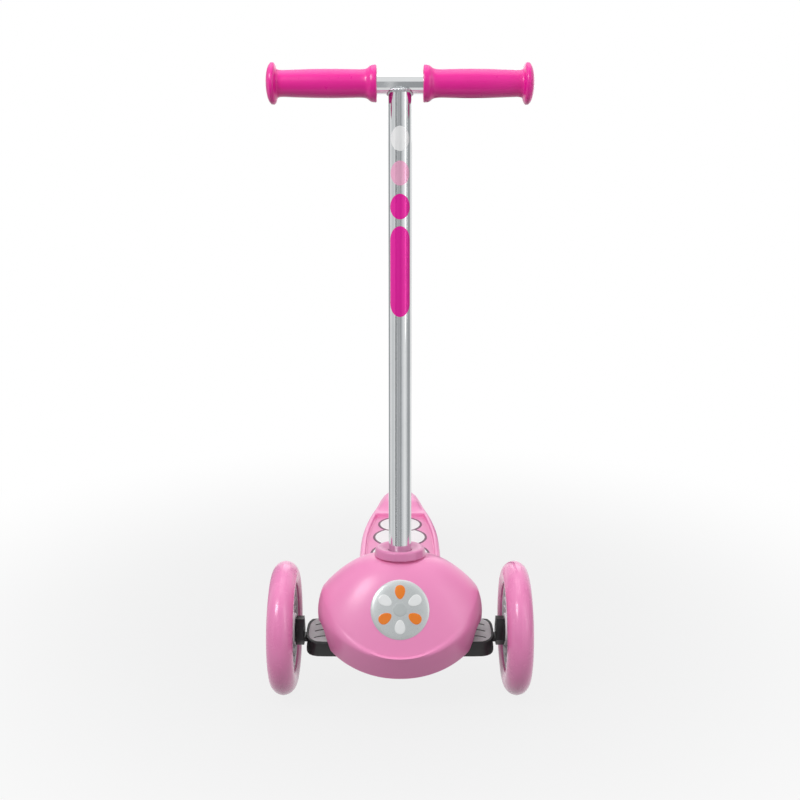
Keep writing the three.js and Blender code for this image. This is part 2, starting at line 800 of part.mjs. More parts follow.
function weldSolid() {
  const foot = bar.height - bar.radius - weld.length;
  const root = column.radius + seatGap;
  const profile = [
    [root, foot],
    [root + weld.skin / 2, foot],
    [root + weld.skin, foot + weld.length / 2],
    [root + weld.flare / 2, bar.height - bar.radius - seatGap],
    [root + weld.flare, bar.height - bar.radius / 2],
    [root, bar.height - bar.radius / 2],
  ];
  const flare = revolve(closedProfile(profile), tubeSteps, "z");
  const side = root + weld.skin;
  const oval = toSolid(
    new THREE.CylinderGeometry(1, 1, 1, tubeSteps)
      .rotateX(Math.PI / 2)
      .scale(root + weld.flare, side, 2 * bar.radius)
      .translate(0, 0, bar.height - bar.radius),
  );
  const reach = root + weld.flare + overrun;
  const saddle = moved(rod(bar.radius + seatGap, -reach, reach, "x", tubeSteps), 0, 0, bar.height);
  return onColumn(cut(flare.intersect(oval), saddle));
}

function gripSolid(side) {
  const bore = bar.radius + seatGap;
  const domeFrom = grip.outer - grip.dome;
  const flangeFrom = domeFrom - grip.flangeWall;
  const collarTo = grip.inner + grip.collarWall;
  const bodyMiddle = (collarTo + flangeFrom) / 2;
  const round = grip.collarWall * gripShares.collarEdge;
  const profile = [
    [bore, grip.inner],
    [grip.collarRadius - round, grip.inner],
    [grip.collarRadius, grip.inner + round],
    [grip.collarRadius, collarTo - round],
    [grip.bodyRadius, collarTo + grip.collarSlope],
    [grip.bodyRadius, bodyMiddle],
    [grip.neckRadius, flangeFrom - grip.collarSlope / 2],
    [grip.neckRadius + grip.collarSlope / 2, flangeFrom],
    [grip.flangeRadius - round, flangeFrom + grip.flangeWall * gripShares.flangeEdge],
    [grip.flangeRadius, domeFrom - grip.flangeWall * gripShares.flangeEdge],
    ...arc(0, 0, 1, Math.PI / 2, 0, arcSteps.dome)
      .slice(0, -1)
      .map(([h, r]) => [grip.flangeRadius * gripShares.dome * r, domeFrom + h * grip.dome]),
    [0, grip.outer],
    [0, bar.half + seatGap],
    [bore, bar.half + seatGap],
  ];
  const solid = revolve(closedProfile(profile), tubeSteps, "x");
  return onColumn(moved(mirrored(solid, side), 0, 0, bar.height));
}

function collarSolid() {
  const spigot = shell.neckRadius - seatGap;
  const inside = column.radius + seatGap + bracket.socketWall + seatGap;
  const skirt = shell.neckTop + seatGap;
  const hug = column.radius + seatGap;
  const lipBottom = bracket.socketTop + seatGap;
  const profile = [
    [hug, lipBottom],
    [hug, collar.top - collar.edge],
    [hug + collar.edge, collar.top - collar.edge / 2],
    [collar.radius - collar.lip, collar.top],
    [collar.radius - collar.edge / 2, collar.top - collar.edge / 2],
    [collar.radius, collar.top - collar.edge],
    [collar.radius + collar.flare, skirt],
    [spigot, skirt],
    [spigot, skirt - collar.spigot / 2],
    [inside, skirt - collar.spigot / 2],
    [inside, lipBottom],
  ];
  return onColumn(revolve(closedProfile(profile), wheelSteps, "z"));
}

function columnBoltSolid() {
  const face = column.radius + seatGap + bracket.socketWall + runGap;
  const shaft = rod(columnBolt.radius, -face - columnBolt.headHeight / 2, face + columnBolt.nutHeight, "y");
  const head = rod(columnBolt.headRadius, -face - columnBolt.headHeight, -face, "y");
  const nut = hex(columnBolt.headRadius, face, face + columnBolt.nutHeight, "y");
  return onColumn(moved(join(shaft, head, nut), 0, 0, columnBolt.height));
}

// Front shell: for each direction a profile runs from the lower edge over the crease to the neck
function shellPoint(turn, along) {
  const round = (value) => Math.sign(value) * Math.abs(value) ** shell.squareShare;
  const s = round(Math.sin(turn));
  const c = round(Math.cos(turn));
  const front = Math.cos(turn) > 0;
  const rise = Math.sin(turn) ** 2;
  const low = front ? shell.creaseFront : shell.creaseBack;
  const crease = low + (shell.creaseSide - low) * rise;
  const reach = front ? shell.reach : shell.back;
  const drawn = shell.creaseShare + (shell.creaseSideShare - shell.creaseShare) * rise;
  if (along < 1) {
    const widest = shell.widestFrontShare + (shell.widestSideShare - shell.widestFrontShare) * rise;
    const out = Math.min(along / widest, 1);
    const below = (1 - rise) * out + rise * Math.sin((out * Math.PI) / 2);
    const above = Math.max(0, (along - widest) / (1 - widest)) ** 2;
    const grown = (start) => start + (1 - start) * below - (1 - drawn) * above;
    const [wide, deep] = [grown(shell.bottomSideShare), grown(shell.bottomFrontShare)];
    const bottom = shell.bottomFront + (shell.bottomSide - shell.bottomFront) * rise;
    const z = bottom + (crease - bottom) * along;
    return new THREE.Vector3(shell.halfWidth * wide * s, -reach * deep * c, z);
  }
  const t = along - 1;
  const neck = new THREE.Vector3(0, 0, shell.neckTop - pivot.height);
  neck.applyAxisAngle(new THREE.Vector3(1, 0, 0), -rake);
  const edge = new THREE.Vector3(shell.halfWidth * s, -reach * c, 0).multiplyScalar(drawn);
  const ringX = shell.neckRadius * Math.sin(turn);
  const ringY = neck.y - shell.neckRadius * Math.cos(turn);
  const ringZ = pivot.height + neck.z + shell.neckRadius * Math.cos(turn) * Math.sin(rake);
  const straight = shell.faceShare * (1 - rise);
  const lift = straight * t + (1 - straight) * Math.sin((t * Math.PI) / 2);
  const inward = t ** (1 + shell.shoulderShare * rise);
  return new THREE.Vector3(
    edge.x + (ringX - edge.x) * inward,
    edge.y + (ringY - edge.y) * inward,
    crease + (ringZ - crease) * lift,
  );
}

function shellNormal(turn, along) {
  const d = 1e-3;
  const before = shellPoint(turn - d, along);
  const after = shellPoint(turn + d, along);
  const low = shellPoint(turn, Math.max(0, along - d));
  const high = shellPoint(turn, Math.min(2, along + d));
  return after.sub(before).cross(high.sub(low)).normalize();
}

function shellSolid() {
  const rings = Array.from({ length: shell.around }, (_, i) => {
    const turn = (2 * Math.PI * i) / shell.around;
    const outer = shellAlongShares.map((along) => shellPoint(turn, along));
    const inner = shellAlongShares.map((along, k) =>
      outer[k].clone().addScaledVector(shellNormal(turn, along), -shell.wall),
    );
    inner[0].z = outer[0].z;
    const neck = outer[outer.length - 1];
    inner[inner.length - 1].set(neck.x, neck.y, neck.z - shell.wall);
    return [...outer, ...inner.reverse()];
  });
  const skin = loft(rings, false);
  const c = shell.archCorner;
  const archBack = deck.front - runGap;
  const saddle = deck.top + seatGap;
  const arch = [
    [-shell.archFront, shell.bottomFront - overrun],
    ...arc(-shell.archFront + c, shell.archTop - c, c, Math.PI, Math.PI / 2, arcSteps.room),
    [archBack, shell.archTop],
    [archBack, saddle],
    [shell.back + overrun, saddle],
    [shell.back + overrun, shell.bottomFront - overrun],
  ];
  return cut(skin, slabX(arch, -shell.halfWidth - overrun, shell.halfWidth + overrun));
}

// Deck outline at a share of its length, and the whole outline drawn in by an inset
function deckOutline(inset) {
  const length = deck.rear - deck.front;
  const side = [...deckOutlineShares, ...deckEndShares].map(
    ([along, width]) => new THREE.Vector2(deck.halfWidth * width, deck.front + length * along),
  );
  const curve = new THREE.SplineCurve(side).getPoints(deckSteps);
  const drawn = curve.map((p) => {
    const y = Math.min(Math.max(p.y, deck.front + inset), deck.rear - inset);
    return [Math.max(p.x - inset, seatGap), y];
  });
  const mirroredSide = drawn.map(([x, y]) => [-x, y]).reverse();
  return [...drawn, ...mirroredSide];
}

function deckHalfWidthAt(y) {
  const along = (y - deck.front) / (deck.rear - deck.front);
  const table = [...deckOutlineShares, ...deckEndShares];
  const k = Math.max(1, table.findIndex(([share]) => share >= along));
  const [a, wa] = table[k - 1];
  const [b, wb] = table[k];
  return deck.halfWidth * (wa + ((wb - wa) * (along - a)) / (b - a));
}

// Fender: arched sections along the rear of the deck
function fenderSolid() {
  const length = deck.rear - fender.front;
  const rings = fenderRiseShares.map(([along, rise, narrow]) => {
    const y = fender.front + length * along;
    const half = deckHalfWidthAt(Math.min(y, deck.rear - deck.edge)) * narrow - deck.edge;
    const base = deck.top - fender.sideDrop;
    const height = fender.sideDrop - seatGap + (fender.top - deck.top) * rise;
    return arc(0, 0, 1, 0, Math.PI, arcSteps.end).map(([c, s]) => {
      const across = Math.sign(c) * Math.abs(c) ** fenderSquareShare;
      return new THREE.Vector3(half * across, y, base + height * Math.max(s, 0) ** fenderSquareShare);
    });
  });
  return loft(rings, true);
}

function deckSolid() {
  const board = slabZ(deckOutline(0), deck.bottom, deck.top, deck.edge);
  const treadFloor = deck.top - deck.treadDrop;
  const side = deck.halfWidth;
  const over = deck.top + overrun;
  const treadBand = block(-side, side, deck.treadFront, deck.treadRear, treadFloor, over);
  const tread = slabZ(deckOutline(deck.rim), treadFloor, over).intersect(treadBand);
  const ceiling = treadFloor - deck.wall;
  const hollowEnd = rearAxleY - rearWheel.radius - 2 * deck.rim;
  const hollowBand = block(-side, side, deck.front, hollowEnd, deck.bottom - overrun, ceiling);
  const hollow = slabZ(deckOutline(deck.wall), deck.bottom - overrun, ceiling).intersect(hollowBand);
  const pitch = (hollowEnd - deck.front) / deck.ribFields;
  const halfRib = deck.ribWall / 2;
  const crossRibs = Array.from({ length: deck.ribFields - 1 }, (_, i) => {
    const y = deck.front + pitch * (i + 1);
    return block(-side, side, y - halfRib, y + halfRib, deck.bottom, ceiling);
  });
  const spines = [-deck.spineAt, deck.spineAt].map((x) =>
    block(x - halfRib, x + halfRib, deck.front, hollowEnd, deck.bottom, ceiling),
  );
  const pockets = cut(hollow, ...crossRibs, ...spines);
  const wheelRoom = rearWheel.radius + fender.skinGap;
  const cheek = rearWheel.tyreWidth / 2 + fender.cheekGap;
  const round = rod(wheelRoom, -cheek, cheek, "x", wheelSteps);
  const slotRound = moved(round, 0, rearAxleY, rearWheel.radius);
  const slotFrom = rearAxleY - wheelRoom;
  const slotDown = block(-cheek, cheek, slotFrom, rearAxleY + wheelRoom, -overrun, rearWheel.radius);
  const [lugFrom, lugTo] = [Math.PI * lugShares.from, Math.PI * lugShares.to];
  const lugShape = [
    [rearAxleY - 2 * fender.lugRadius, deck.bottom + deck.edge],
    ...arc(rearAxleY, rearWheel.radius, fender.lugRadius, lugFrom, lugTo, arcSteps.tip),
    [rearAxleY + 2 * fender.lugRadius, deck.bottom + deck.edge],
  ];
  const lugs = [1, -1].map((hand) => mirrored(slabX(lugShape, cheek, cheek + fender.lugWall), hand));
  const axleHole = rod(axleBolt.radius + seatGap, -side, side, "x");
  const headRoom = cheek + fender.lugWall;
  const access = [-1, 1].map((hand) => {
    const wide = rod(axleBolt.headRadius + 2 * runGap, hand * headRoom, hand * side, "x");
    return moved(wide, 0, rearAxleY, rearWheel.radius);
  });
  const screwHoles = [-1, 1].map((hand) => {
    const hole = rod(bracket.screwRadius + seatGap, deck.top - bracket.screwLength, over, "z");
    return moved(hole, hand * bracket.screwAt, screwY, 0);
  });
  const solid = join(board, fenderSolid(), ...lugs);
  const axleBore = moved(axleHole, 0, rearAxleY, rearWheel.radius);
  const bored = cut(solid, tread, pockets, slotRound, slotDown, axleBore);
  return cut(bored, ...access, ...screwHoles);
}

function rearAxleSolid() {
  const face = rearWheel.tyreWidth / 2 + fender.cheekGap + fender.lugWall + seatGap;
  const shaft = rod(axleBolt.radius, -face - overrun / 2, face + axleBolt.headHeight, "x");
  const head = hex(axleBolt.headRadius, -face - axleBolt.headHeight, -face, "x");
  return moved(join(shaft, head), 0, rearAxleY, rearWheel.radius);
}

function rearNutSolid() {
  const face = rearWheel.tyreWidth / 2 + fender.cheekGap + fender.lugWall + seatGap;
  const nut = hex(axleBolt.headRadius, face, face + axleBolt.headHeight, "x");
  const hole = rod(axleBolt.radius + seatGap, face - overrun, face + axleBolt.headHeight + overrun, "x");
  return moved(cut(nut, hole), 0, rearAxleY, rearWheel.radius);
}

// Collars on the rear axle that hold the wheel in the middle of its slot
function rearSpacerSolid(side) {
  const from = rearWheel.bossWidth / 2 + seatGap;
  const to = rearWheel.tyreWidth / 2 + fender.cheekGap - seatGap;
  const ring = pipe(bearing.bore + bearing.race, axleBolt.radius + seatGap, from, to, "x");
  return moved(mirrored(ring, side), 0, rearAxleY, rearWheel.radius);
}

// The scene: one mesh for each piece
const scooter = new THREE.Group();
scooter.position.y = frameShift;

function add(name, solid, material) {
  const mesh = new THREE.Mesh(toGeometry(solid), material);
  mesh.name = name;
  scooter.add(mesh);
}

function addWheel(name, wheel, x, y) {
  const offset = bearingOffset(wheel);
  const at = (solid, shift = 0) => moved(solid, x + shift, y, wheel.radius);
  add("tyre_" + name, at(tyreSolid(wheel)), pink());
  add("hub_" + name, at(hubSolid(wheel)), white());
  add("bearing_" + name + "_1", at(bearingSolid(), -offset), steel());
  add("bearing_" + name + "_2", at(bearingSolid(), offset), steel());
  add("bearing_spacer_" + name, at(spacerSolid(wheel)), steel());
}

add("axle_beam", beamSolid(), black());
add("pivot_bolt", pivotBoltSolid(), steel());
add("pivot_nut", pivotNutSolid(), steel());
add("pivot_sleeve", pivotSleeveSolid(), steel());
add("pivot_bush_front", bushSolid(-1), rubber());
add("pivot_bush_rear", bushSolid(1), rubber());
add("tie_rod", tieRodSolid(), steel());

for (const [name, side] of [["left", 1], ["right", -1]]) {
  const at = (solid) => moved(solid, side * kingpinX, 0, 0);
  add("axle_tread_" + name, inlaySolid(side), grey());
  add("kingpin_" + name, at(kingpinSolid()), steel());
  add("knuckle_" + name, at(knuckleSolid(side)), black());
  add("wheel_bolt_" + name, moved(wheelBoltSolid(side), side * kingpinX, 0, frontWheel.radius), steel());
  addWheel("front_" + name, frontWheel, side * wheelX, 0);
  add("grip_" + name, gripSolid(side), magenta());
  add("bracket_screw_" + name, bracketScrewSolid(side), steel());
  add("rear_spacer_" + name, rearSpacerSolid(side), steel());
}

add("head_bracket", bracketSolid(), black());
add("steer_lever", leverSolid(), steel());
add("front_shell", shellSolid(), pink());
add("collar", collarSolid(), pink());
add("column", columnSolid(), chrome());
add("column_bolt", columnBoltSolid(), steel());
add("crossbar", crossbarSolid(), chrome());
add("bar_weld", weldSolid(), chrome());
add("deck", deckSolid(), pink());
add("rear_axle", rearAxleSolid(), steel());
add("rear_axle_nut", rearNutSolid(), steel());
addWheel("rear", rearWheel, 0, rearAxleY);

export default scooter;
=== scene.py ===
import bpy
import bmesh
import math
from mathutils import Matrix, Vector
from mathutils.bvhtree import BVHTree


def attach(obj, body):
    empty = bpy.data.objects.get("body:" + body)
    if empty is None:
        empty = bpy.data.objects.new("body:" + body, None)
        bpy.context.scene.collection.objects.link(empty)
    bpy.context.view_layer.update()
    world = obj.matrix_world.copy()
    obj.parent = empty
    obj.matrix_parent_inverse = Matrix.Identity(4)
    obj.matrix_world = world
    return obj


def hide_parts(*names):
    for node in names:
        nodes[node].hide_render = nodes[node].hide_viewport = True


# Kids scooter with a T bar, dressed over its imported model. Sizes are in millimetres and turned to metres
# where a mesh is made. Front is -Y, the rider's left is +X.

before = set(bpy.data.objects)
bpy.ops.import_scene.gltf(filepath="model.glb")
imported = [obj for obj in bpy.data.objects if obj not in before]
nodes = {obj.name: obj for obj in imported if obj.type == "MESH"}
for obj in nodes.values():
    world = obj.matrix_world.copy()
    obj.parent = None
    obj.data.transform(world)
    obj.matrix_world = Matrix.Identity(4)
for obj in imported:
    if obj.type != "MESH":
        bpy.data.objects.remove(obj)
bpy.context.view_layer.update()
mm = 0.001
frontAxleY = -202.0
rearAxleY = 229.0
seatGap = 0.3  # between a piece and the one that it seats on
print("frame loaded:", len(nodes), "nodes")


# Colour and nodes

def linearFromHex(text, alpha=1.0):
    values = [int(text[i:i + 2], 16) / 255 for i in (1, 3, 5)]
    linear = [v / 12.92 if v <= 0.04045 else ((v + 0.055) / 1.055) ** 2.4 for v in values]
    return (*linear, alpha)


def addNode(tree, kind, inputs=None, **settings):
    node = tree.nodes.new(kind)
    for key, value in settings.items():
        setattr(node, key, value)
    for key, value in (inputs or {}).items():
        if isinstance(value, bpy.types.NodeSocket):
            tree.links.new(value, node.inputs[key])
        else:
            node.inputs[key].default_value = value
    return node


def startMaterial(name):
    material = bpy.data.materials.new(name)
    material.use_nodes = True
    tree = material.node_tree
    tree.nodes.clear()
    # objects sit at the origin, so these coordinates are metres
    place = addNode(tree, "ShaderNodeTexCoord").outputs["Object"]
    return material, tree, place


def endMaterial(tree, shader):
    addNode(tree, "ShaderNodeOutputMaterial", {"Surface": shader.outputs[0]})


# Colours vary a little between two hex values over blotches of blotchMm, a fine grain of grainMm is in the
# bump, and the roughness swings round its middle value.
def mouldedMaterial(name, look):
    material, tree, place = startMaterial(name)
    blotch = addNode(tree, "ShaderNodeTexNoise", {
        "Vector": place, "Scale": 1000 / look["blotchMm"], "Detail": 3.0, "Roughness": 0.5})
    colour = addNode(tree, "ShaderNodeMix", {
        0: blotch.outputs["Fac"], 6: linearFromHex(look["colour"]), 7: linearFromHex(look["colourTwo"])},
        data_type="RGBA")
    wear = addNode(tree, "ShaderNodeTexNoise", {
        "Vector": place, "Scale": 1000 / look["wearMm"], "Detail": 6.0, "Roughness": 0.65})
    rough = addNode(tree, "ShaderNodeMapRange", {
        0: wear.outputs["Fac"], 1: 0.3, 2: 0.7, 3: look["rough"] - look["roughSwing"],
        4: look["rough"] + look["roughSwing"]})
    grain = addNode(tree, "ShaderNodeTexNoise", {
        "Vector": place, "Scale": 1000 / look["grainMm"], "Detail": 2.0, "Roughness": 0.5})
    bump = addNode(tree, "ShaderNodeBump", {
        "Height": grain.outputs["Fac"], "Strength": look["grainStrength"],
        "Distance": look["grainDepthMm"] * mm})
    shader = addNode(tree, "ShaderNodeBsdfPrincipled", {
        "Base Color": colour.outputs[2], "Roughness": rough.outputs[0], "IOR": look["ior"],
        "Coat Weight": look.get("coat", 0.0), "Coat Roughness": look.get("coatRough", 0.1),
        "Normal": bump.outputs[0]})
    endMaterial(tree, shader)
    return material


# Polypropylene, injection moulded and polished in the tool: an even pink gloss with a very faint orange peel
pinkPolypropylene = mouldedMaterial("pinkPolypropyleneMoulded", {
    "colour": "#f58dc3", "colourTwo": "#f797c9", "blotchMm": 60, "wearMm": 22,
    "rough": 0.34, "roughSwing": 0.05, "grainMm": 0.9, "grainStrength": 0.12, "grainDepthMm": 0.05,
    "ior": 1.49, "coat": 0.25, "coatRough": 0.22})

# The same plastic a shade deeper for the collar: painted shade, the darker copy stands in for the shade on
# its wall
shadedPolypropylene = mouldedMaterial("shadedPinkPolypropyleneMoulded", {
    "colour": "#e183b5", "colourTwo": "#e58abb", "blotchMm": 60, "wearMm": 22,
    "rough": 0.34, "roughSwing": 0.05, "grainMm": 0.9, "grainStrength": 0.12, "grainDepthMm": 0.05,
    "ior": 1.49, "coat": 0.25, "coatRough": 0.22})

# Cast polyurethane of the tyres: a little deeper pink, wet looking, with faint flow clouds
pinkPolyurethane = mouldedMaterial("pinkPolyurethaneCast", {
    "colour": "#f284bd", "colourTwo": "#f693c8", "blotchMm": 35, "wearMm": 14,
    "rough": 0.25, "roughSwing": 0.07, "grainMm": 1.4, "grainStrength": 0.1, "grainDepthMm": 0.05,
    "ior": 1.5, "coat": 0.35, "coatRough": 0.12})

# Nylon of the wheel hubs, moulded: clean white, half gloss, slightly rippled by its ribs
whiteNylon = mouldedMaterial("whiteNylonMoulded", {
    "colour": "#efefef", "colourTwo": "#e6e7e9", "blotchMm": 30, "wearMm": 10,
    "rough": 0.36, "roughSwing": 0.06, "grainMm": 0.8, "grainStrength": 0.12, "grainDepthMm": 0.05,
    "ior": 1.53})

# Glass filled nylon of the axle beam and knuckles: near black with a fine spark eroded grain
blackNylon = mouldedMaterial("blackGlassFilledNylon", {
    "colour": "#141415", "colourTwo": "#1d1d1f", "blotchMm": 12, "wearMm": 6,
    "rough": 0.42, "roughSwing": 0.08, "grainMm": 0.6, "grainStrength": 0.35, "grainDepthMm": 0.08,
    "ior": 1.53})

# Soft PVC of the grips: strong magenta, silky, with a fine leathery grain that the hand can feel
magentaPvc = mouldedMaterial("magentaPvcGrip", {
    "colour": "#f00098", "colourTwo": "#f600a0", "blotchMm": 26, "wearMm": 9,
    "rough": 0.33, "roughSwing": 0.07, "grainMm": 1.1, "grainStrength": 0.18, "grainDepthMm": 0.08,
    "ior": 1.53, "coat": 0.2, "coatRough": 0.16})

# ABS of the treads on the beam: light grey, coarse spark eroded, so it looks sugary
greyAbs = mouldedMaterial("greyAbsSparkEroded", {
    "colour": "#cdd0d0", "colourTwo": "#e6e8e8", "blotchMm": 2.2, "wearMm": 5,
    "rough": 0.5, "roughSwing": 0.1, "grainMm": 1.3, "grainStrength": 0.7, "grainDepthMm": 0.25,
    "ior": 1.54})

# Natural rubber of the lean bushes: matt, almost black, chalky at the edges
blackRubber = mouldedMaterial("blackNaturalRubber", {
    "colour": "#222222", "colourTwo": "#2e2d2c", "blotchMm": 8, "wearMm": 4,
    "rough": 0.8, "roughSwing": 0.08, "grainMm": 0.7, "grainStrength": 0.4, "grainDepthMm": 0.1,
    "ior": 1.52})

# Powder coat over steel on the head bracket: satin black with an orange peel of about 2 mm
blackPowderCoat = mouldedMaterial("blackPowderCoatSteel", {
    "colour": "#161617", "colourTwo": "#1e1e20", "blotchMm": 25, "wearMm": 9,
    "rough": 0.4, "roughSwing": 0.06, "grainMm": 2.0, "grainStrength": 0.3, "grainDepthMm": 0.12,
    "ior": 1.5})


# A bare or plated metal: streaks run along one axis, as polishing or rolling leaves them.
def platedMaterial(name, look):
    material, tree, place = startMaterial(name)
    drawn = addNode(tree, "ShaderNodeMapping", {"Vector": place, "Scale": look["stretch"]})
    streak = addNode(tree, "ShaderNodeTexNoise", {
        "Vector": drawn.outputs[0], "Scale": 1000 / look["streakMm"], "Detail": 4.0, "Roughness": 0.6})
    cloud = addNode(tree, "ShaderNodeTexNoise", {
        "Vector": place, "Scale": 1000 / look["cloudMm"], "Detail": 3.0, "Roughness": 0.55})
    colour = addNode(tree, "ShaderNodeMix", {
        0: cloud.outputs["Fac"], 6: linearFromHex(look["colour"]), 7: linearFromHex(look["colourTwo"])},
        data_type="RGBA")
    rough = addNode(tree, "ShaderNodeMapRange", {
        0: streak.outputs["Fac"], 1: 0.3, 2: 0.7, 3: look["rough"] - look["roughSwing"],
        4: look["rough"] + look["roughSwing"]})
    bump = addNode(tree, "ShaderNodeBump", {
        "Height": streak.outputs["Fac"], "Strength": look["bump"], "Distance": 0.02 * mm})
    shader = addNode(tree, "ShaderNodeBsdfPrincipled", {
        "Base Color": colour.outputs[2], "Metallic": look.get("metallic", 1.0), "Roughness": rough.outputs[0],
        "Coat Weight": look.get("coat", 0.0), "Coat Roughness": 0.08, "Normal": bump.outputs[0]})
    endMaterial(tree, shader)
    return material


# Chromium plate on drawn steel tube: a mirror with faint lengthwise polishing lines
chromedSteel = platedMaterial("chromedSteelTube", {
    "colour": "#d3d5d6", "colourTwo": "#dfe1e2", "stretch": (1, 1, 0.04), "streakMm": 1.2, "cloudMm": 40,
    "rough": 0.09, "roughSwing": 0.03, "bump": 0.1})
chromedBar = platedMaterial("chromedSteelCrossbar", {
    "colour": "#d3d5d6", "colourTwo": "#dfe1e2", "stretch": (0.04, 1, 1), "streakMm": 1.2, "cloudMm": 40,
    "rough": 0.09, "roughSwing": 0.03, "bump": 0.1})

# Bright zinc plate on bolts, nuts and bearings: grey silver, cloudy, a little dull
zincSteel = platedMaterial("zincPlatedSteel", {
    "colour": "#a9acae", "colourTwo": "#c3c6c8", "stretch": (1, 1, 1), "streakMm": 0.8, "cloudMm": 4,
    "rough": 0.32, "roughSwing": 0.08, "bump": 0.25})

# Metallised vinyl film on the column: the chrome's reflections still run through its colour
filmFinish = {
    "stretch": (1, 1, 0.04), "streakMm": 1.2, "cloudMm": 30, "rough": 0.2, "roughSwing": 0.03, "bump": 0.06}
magentaFilm = platedMaterial("magentaVinylFilm", {
    **filmFinish, "colour": "#ee00a2", "colourTwo": "#f500aa", "metallic": 0.3, "coat": 0.25})
palePinkFilm = platedMaterial("palePinkVinylFilm", {
    **filmFinish, "colour": "#f6b0d2", "colourTwo": "#fabbd9", "metallic": 0.45, "coat": 0.4})
whiteFilm = platedMaterial("whiteVinylFilm", {
    **filmFinish, "colour": "#f4f5f5", "colourTwo": "#fafafa", "metallic": 0.3, "coat": 0.4})

# Domed polyurethane badge: a silver grey disc under a clear gloss, with coloured pads on it
silverBadge = platedMaterial("silverGreyBadgeResin", {
    "colour": "#c3c8c8", "colourTwo": "#d3d7d7", "stretch": (1, 1, 1), "streakMm": 0.6, "cloudMm": 30,
    "rough": 0.3, "roughSwing": 0.04, "bump": 0.1, "metallic": 0.35, "coat": 0.8})
badgeLooks = {
    "orange": {"colour": "#f58a08", "colourTwo": "#ee7400"},
    "white": {"colour": "#f1f3f3", "colourTwo": "#e9ecec"},
    "grey": {"colour": "#b6bcbc", "colourTwo": "#c2c7c7"},
}
badgeInks = {
    key: mouldedMaterial(key + "BadgeInk", {
        **look, "blotchMm": 9, "wearMm": 5, "rough": 0.24, "roughSwing": 0.03, "grainMm": 0.5,
        "grainStrength": 0.08, "grainDepthMm": 0.03, "ior": 1.5, "coat": 0.7, "coatRough": 0.06})
    for key, look in badgeLooks.items()}

# Screen printed inks on the footboard: white, plum and a deeper pink, thin and slightly mottled
inkFinish = {
    "blotchMm": 7, "wearMm": 4, "rough": 0.45, "roughSwing": 0.07, "grainMm": 0.8, "grainStrength": 0.3,
    "grainDepthMm": 0.06, "ior": 1.5}
whiteInk = mouldedMaterial("whiteScreenInk", {**inkFinish, "colour": "#e9e4e7", "colourTwo": "#f0ecee"})
plumInk = mouldedMaterial("plumScreenInk", {**inkFinish, "colour": "#5b2848", "colourTwo": "#6a3355"})
deepPinkInk = mouldedMaterial("deepPinkScreenInk", {
    "colour": "#ea8fbe", "colourTwo": "#ee99c5", "blotchMm": 9, "wearMm": 4,
    "rough": 0.5, "roughSwing": 0.07, "grainMm": 0.9, "grainStrength": 0.4, "grainDepthMm": 0.08,
    "ior": 1.5})
print("materials made:", len(bpy.data.materials))


# Making meshes

def addObject(name, points, faces, weld=1e-6):
    mesh = bpy.data.meshes.new(name)
    mesh.from_pydata([Vector(p) * mm for p in points], [], faces)
    work = bmesh.new()
    work.from_mesh(mesh)
    bmesh.ops.remove_doubles(work, verts=work.verts, dist=weld)
    bmesh.ops.recalc_face_normals(work, faces=work.faces)
    work.to_mesh(mesh)
    work.free()
    obj = bpy.data.objects.new(name, mesh)
    bpy.context.scene.collection.objects.link(obj)
    return obj


def dress(obj, body, material, replaces=(), sharp=32):
    obj.data.materials.clear()
    obj.data.materials.append(material)
    obj.data.shade_smooth()
    obj.data.set_sharp_from_angle(angle=math.radians(sharp))
    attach(obj, body)
    if replaces:
        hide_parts(*replaces)
    return obj


# Rings of points, all with the same count, joined side by side
def joinRings(rings, closed=False, capped=False):
    count = len(rings[0])
    points = [p for ring in rings for p in ring]
    faces = []
    for i in range(len(rings) if closed else len(rings) - 1):
        a, b = i * count, ((i + 1) % len(rings)) * count
        for j in range(count):
            k = (j + 1) % count
            faces.append((a + j, a + k, b + k, b + j))
    if capped:
        faces.append(tuple(range(count - 1, -1, -1)))
        last = (len(rings) - 1) * count
        faces.append(tuple(range(last, last + count)))
    return points, faces


# A profile of (radius, along) points turned round X, Y or Z through a centre
def turned(profile, steps, axis="X", centre=(0, 0, 0), closed=True):
    rings = []
    for radius, along in profile:
        ring = []
        for i in range(steps):
            angle = 2 * math.pi * i / steps
            u, v = radius * math.cos(angle), radius * math.sin(angle)
            point = {"X": (along, u, v), "Y": (v, along, u), "Z": (u, v, along)}[axis]
            ring.append(tuple(point[n] + centre[n] for n in range(3)))
        rings.append(ring)
    return joinRings(rings, closed)


# Corners of a closed outline rounded by short curves
def roundCorners(points, radius, steps=4):
    out = []
    count = len(points)
    radii = radius if isinstance(radius, (list, tuple)) else [radius] * count
    for i, point in enumerate(points):
        here = Vector(point)
        before, after = Vector(points[i - 1]) - here, Vector(points[(i + 1) % count]) - here
        reach = min(radii[i], 0.45 * before.length, 0.45 * after.length)
        if reach < 1e-6:
            out.append(tuple(here))
            continue
        start, end = here + before.normalized() * reach, here + after.normalized() * reach
        for k in range(steps + 1):
            t = k / steps
            out.append(tuple(start * (1 - t) ** 2 + here * 2 * t * (1 - t) + end * t * t))
    return out


# A closed outline moved inwards by an inset, or outwards by a negative one
def drawnIn(outline, inset):
    out = []
    count = len(outline)
    area = sum(a[0] * b[1] - b[0] * a[1] for a, b in zip(outline, outline[1:] + outline[:1]))
    hand = 1 if area > 0 else -1
    for i, point in enumerate(outline):
        before = (Vector(point) - Vector(outline[i - 1])).normalized()
        after = (Vector(outline[(i + 1) % count]) - Vector(point)).normalized()
        inward = Vector((-before.y - after.y, before.x + after.x)) * hand
        reach = inset / max(0.3, inward.length / 2)
        out.append(tuple(Vector(point) + inward.normalized() * reach))
    return out


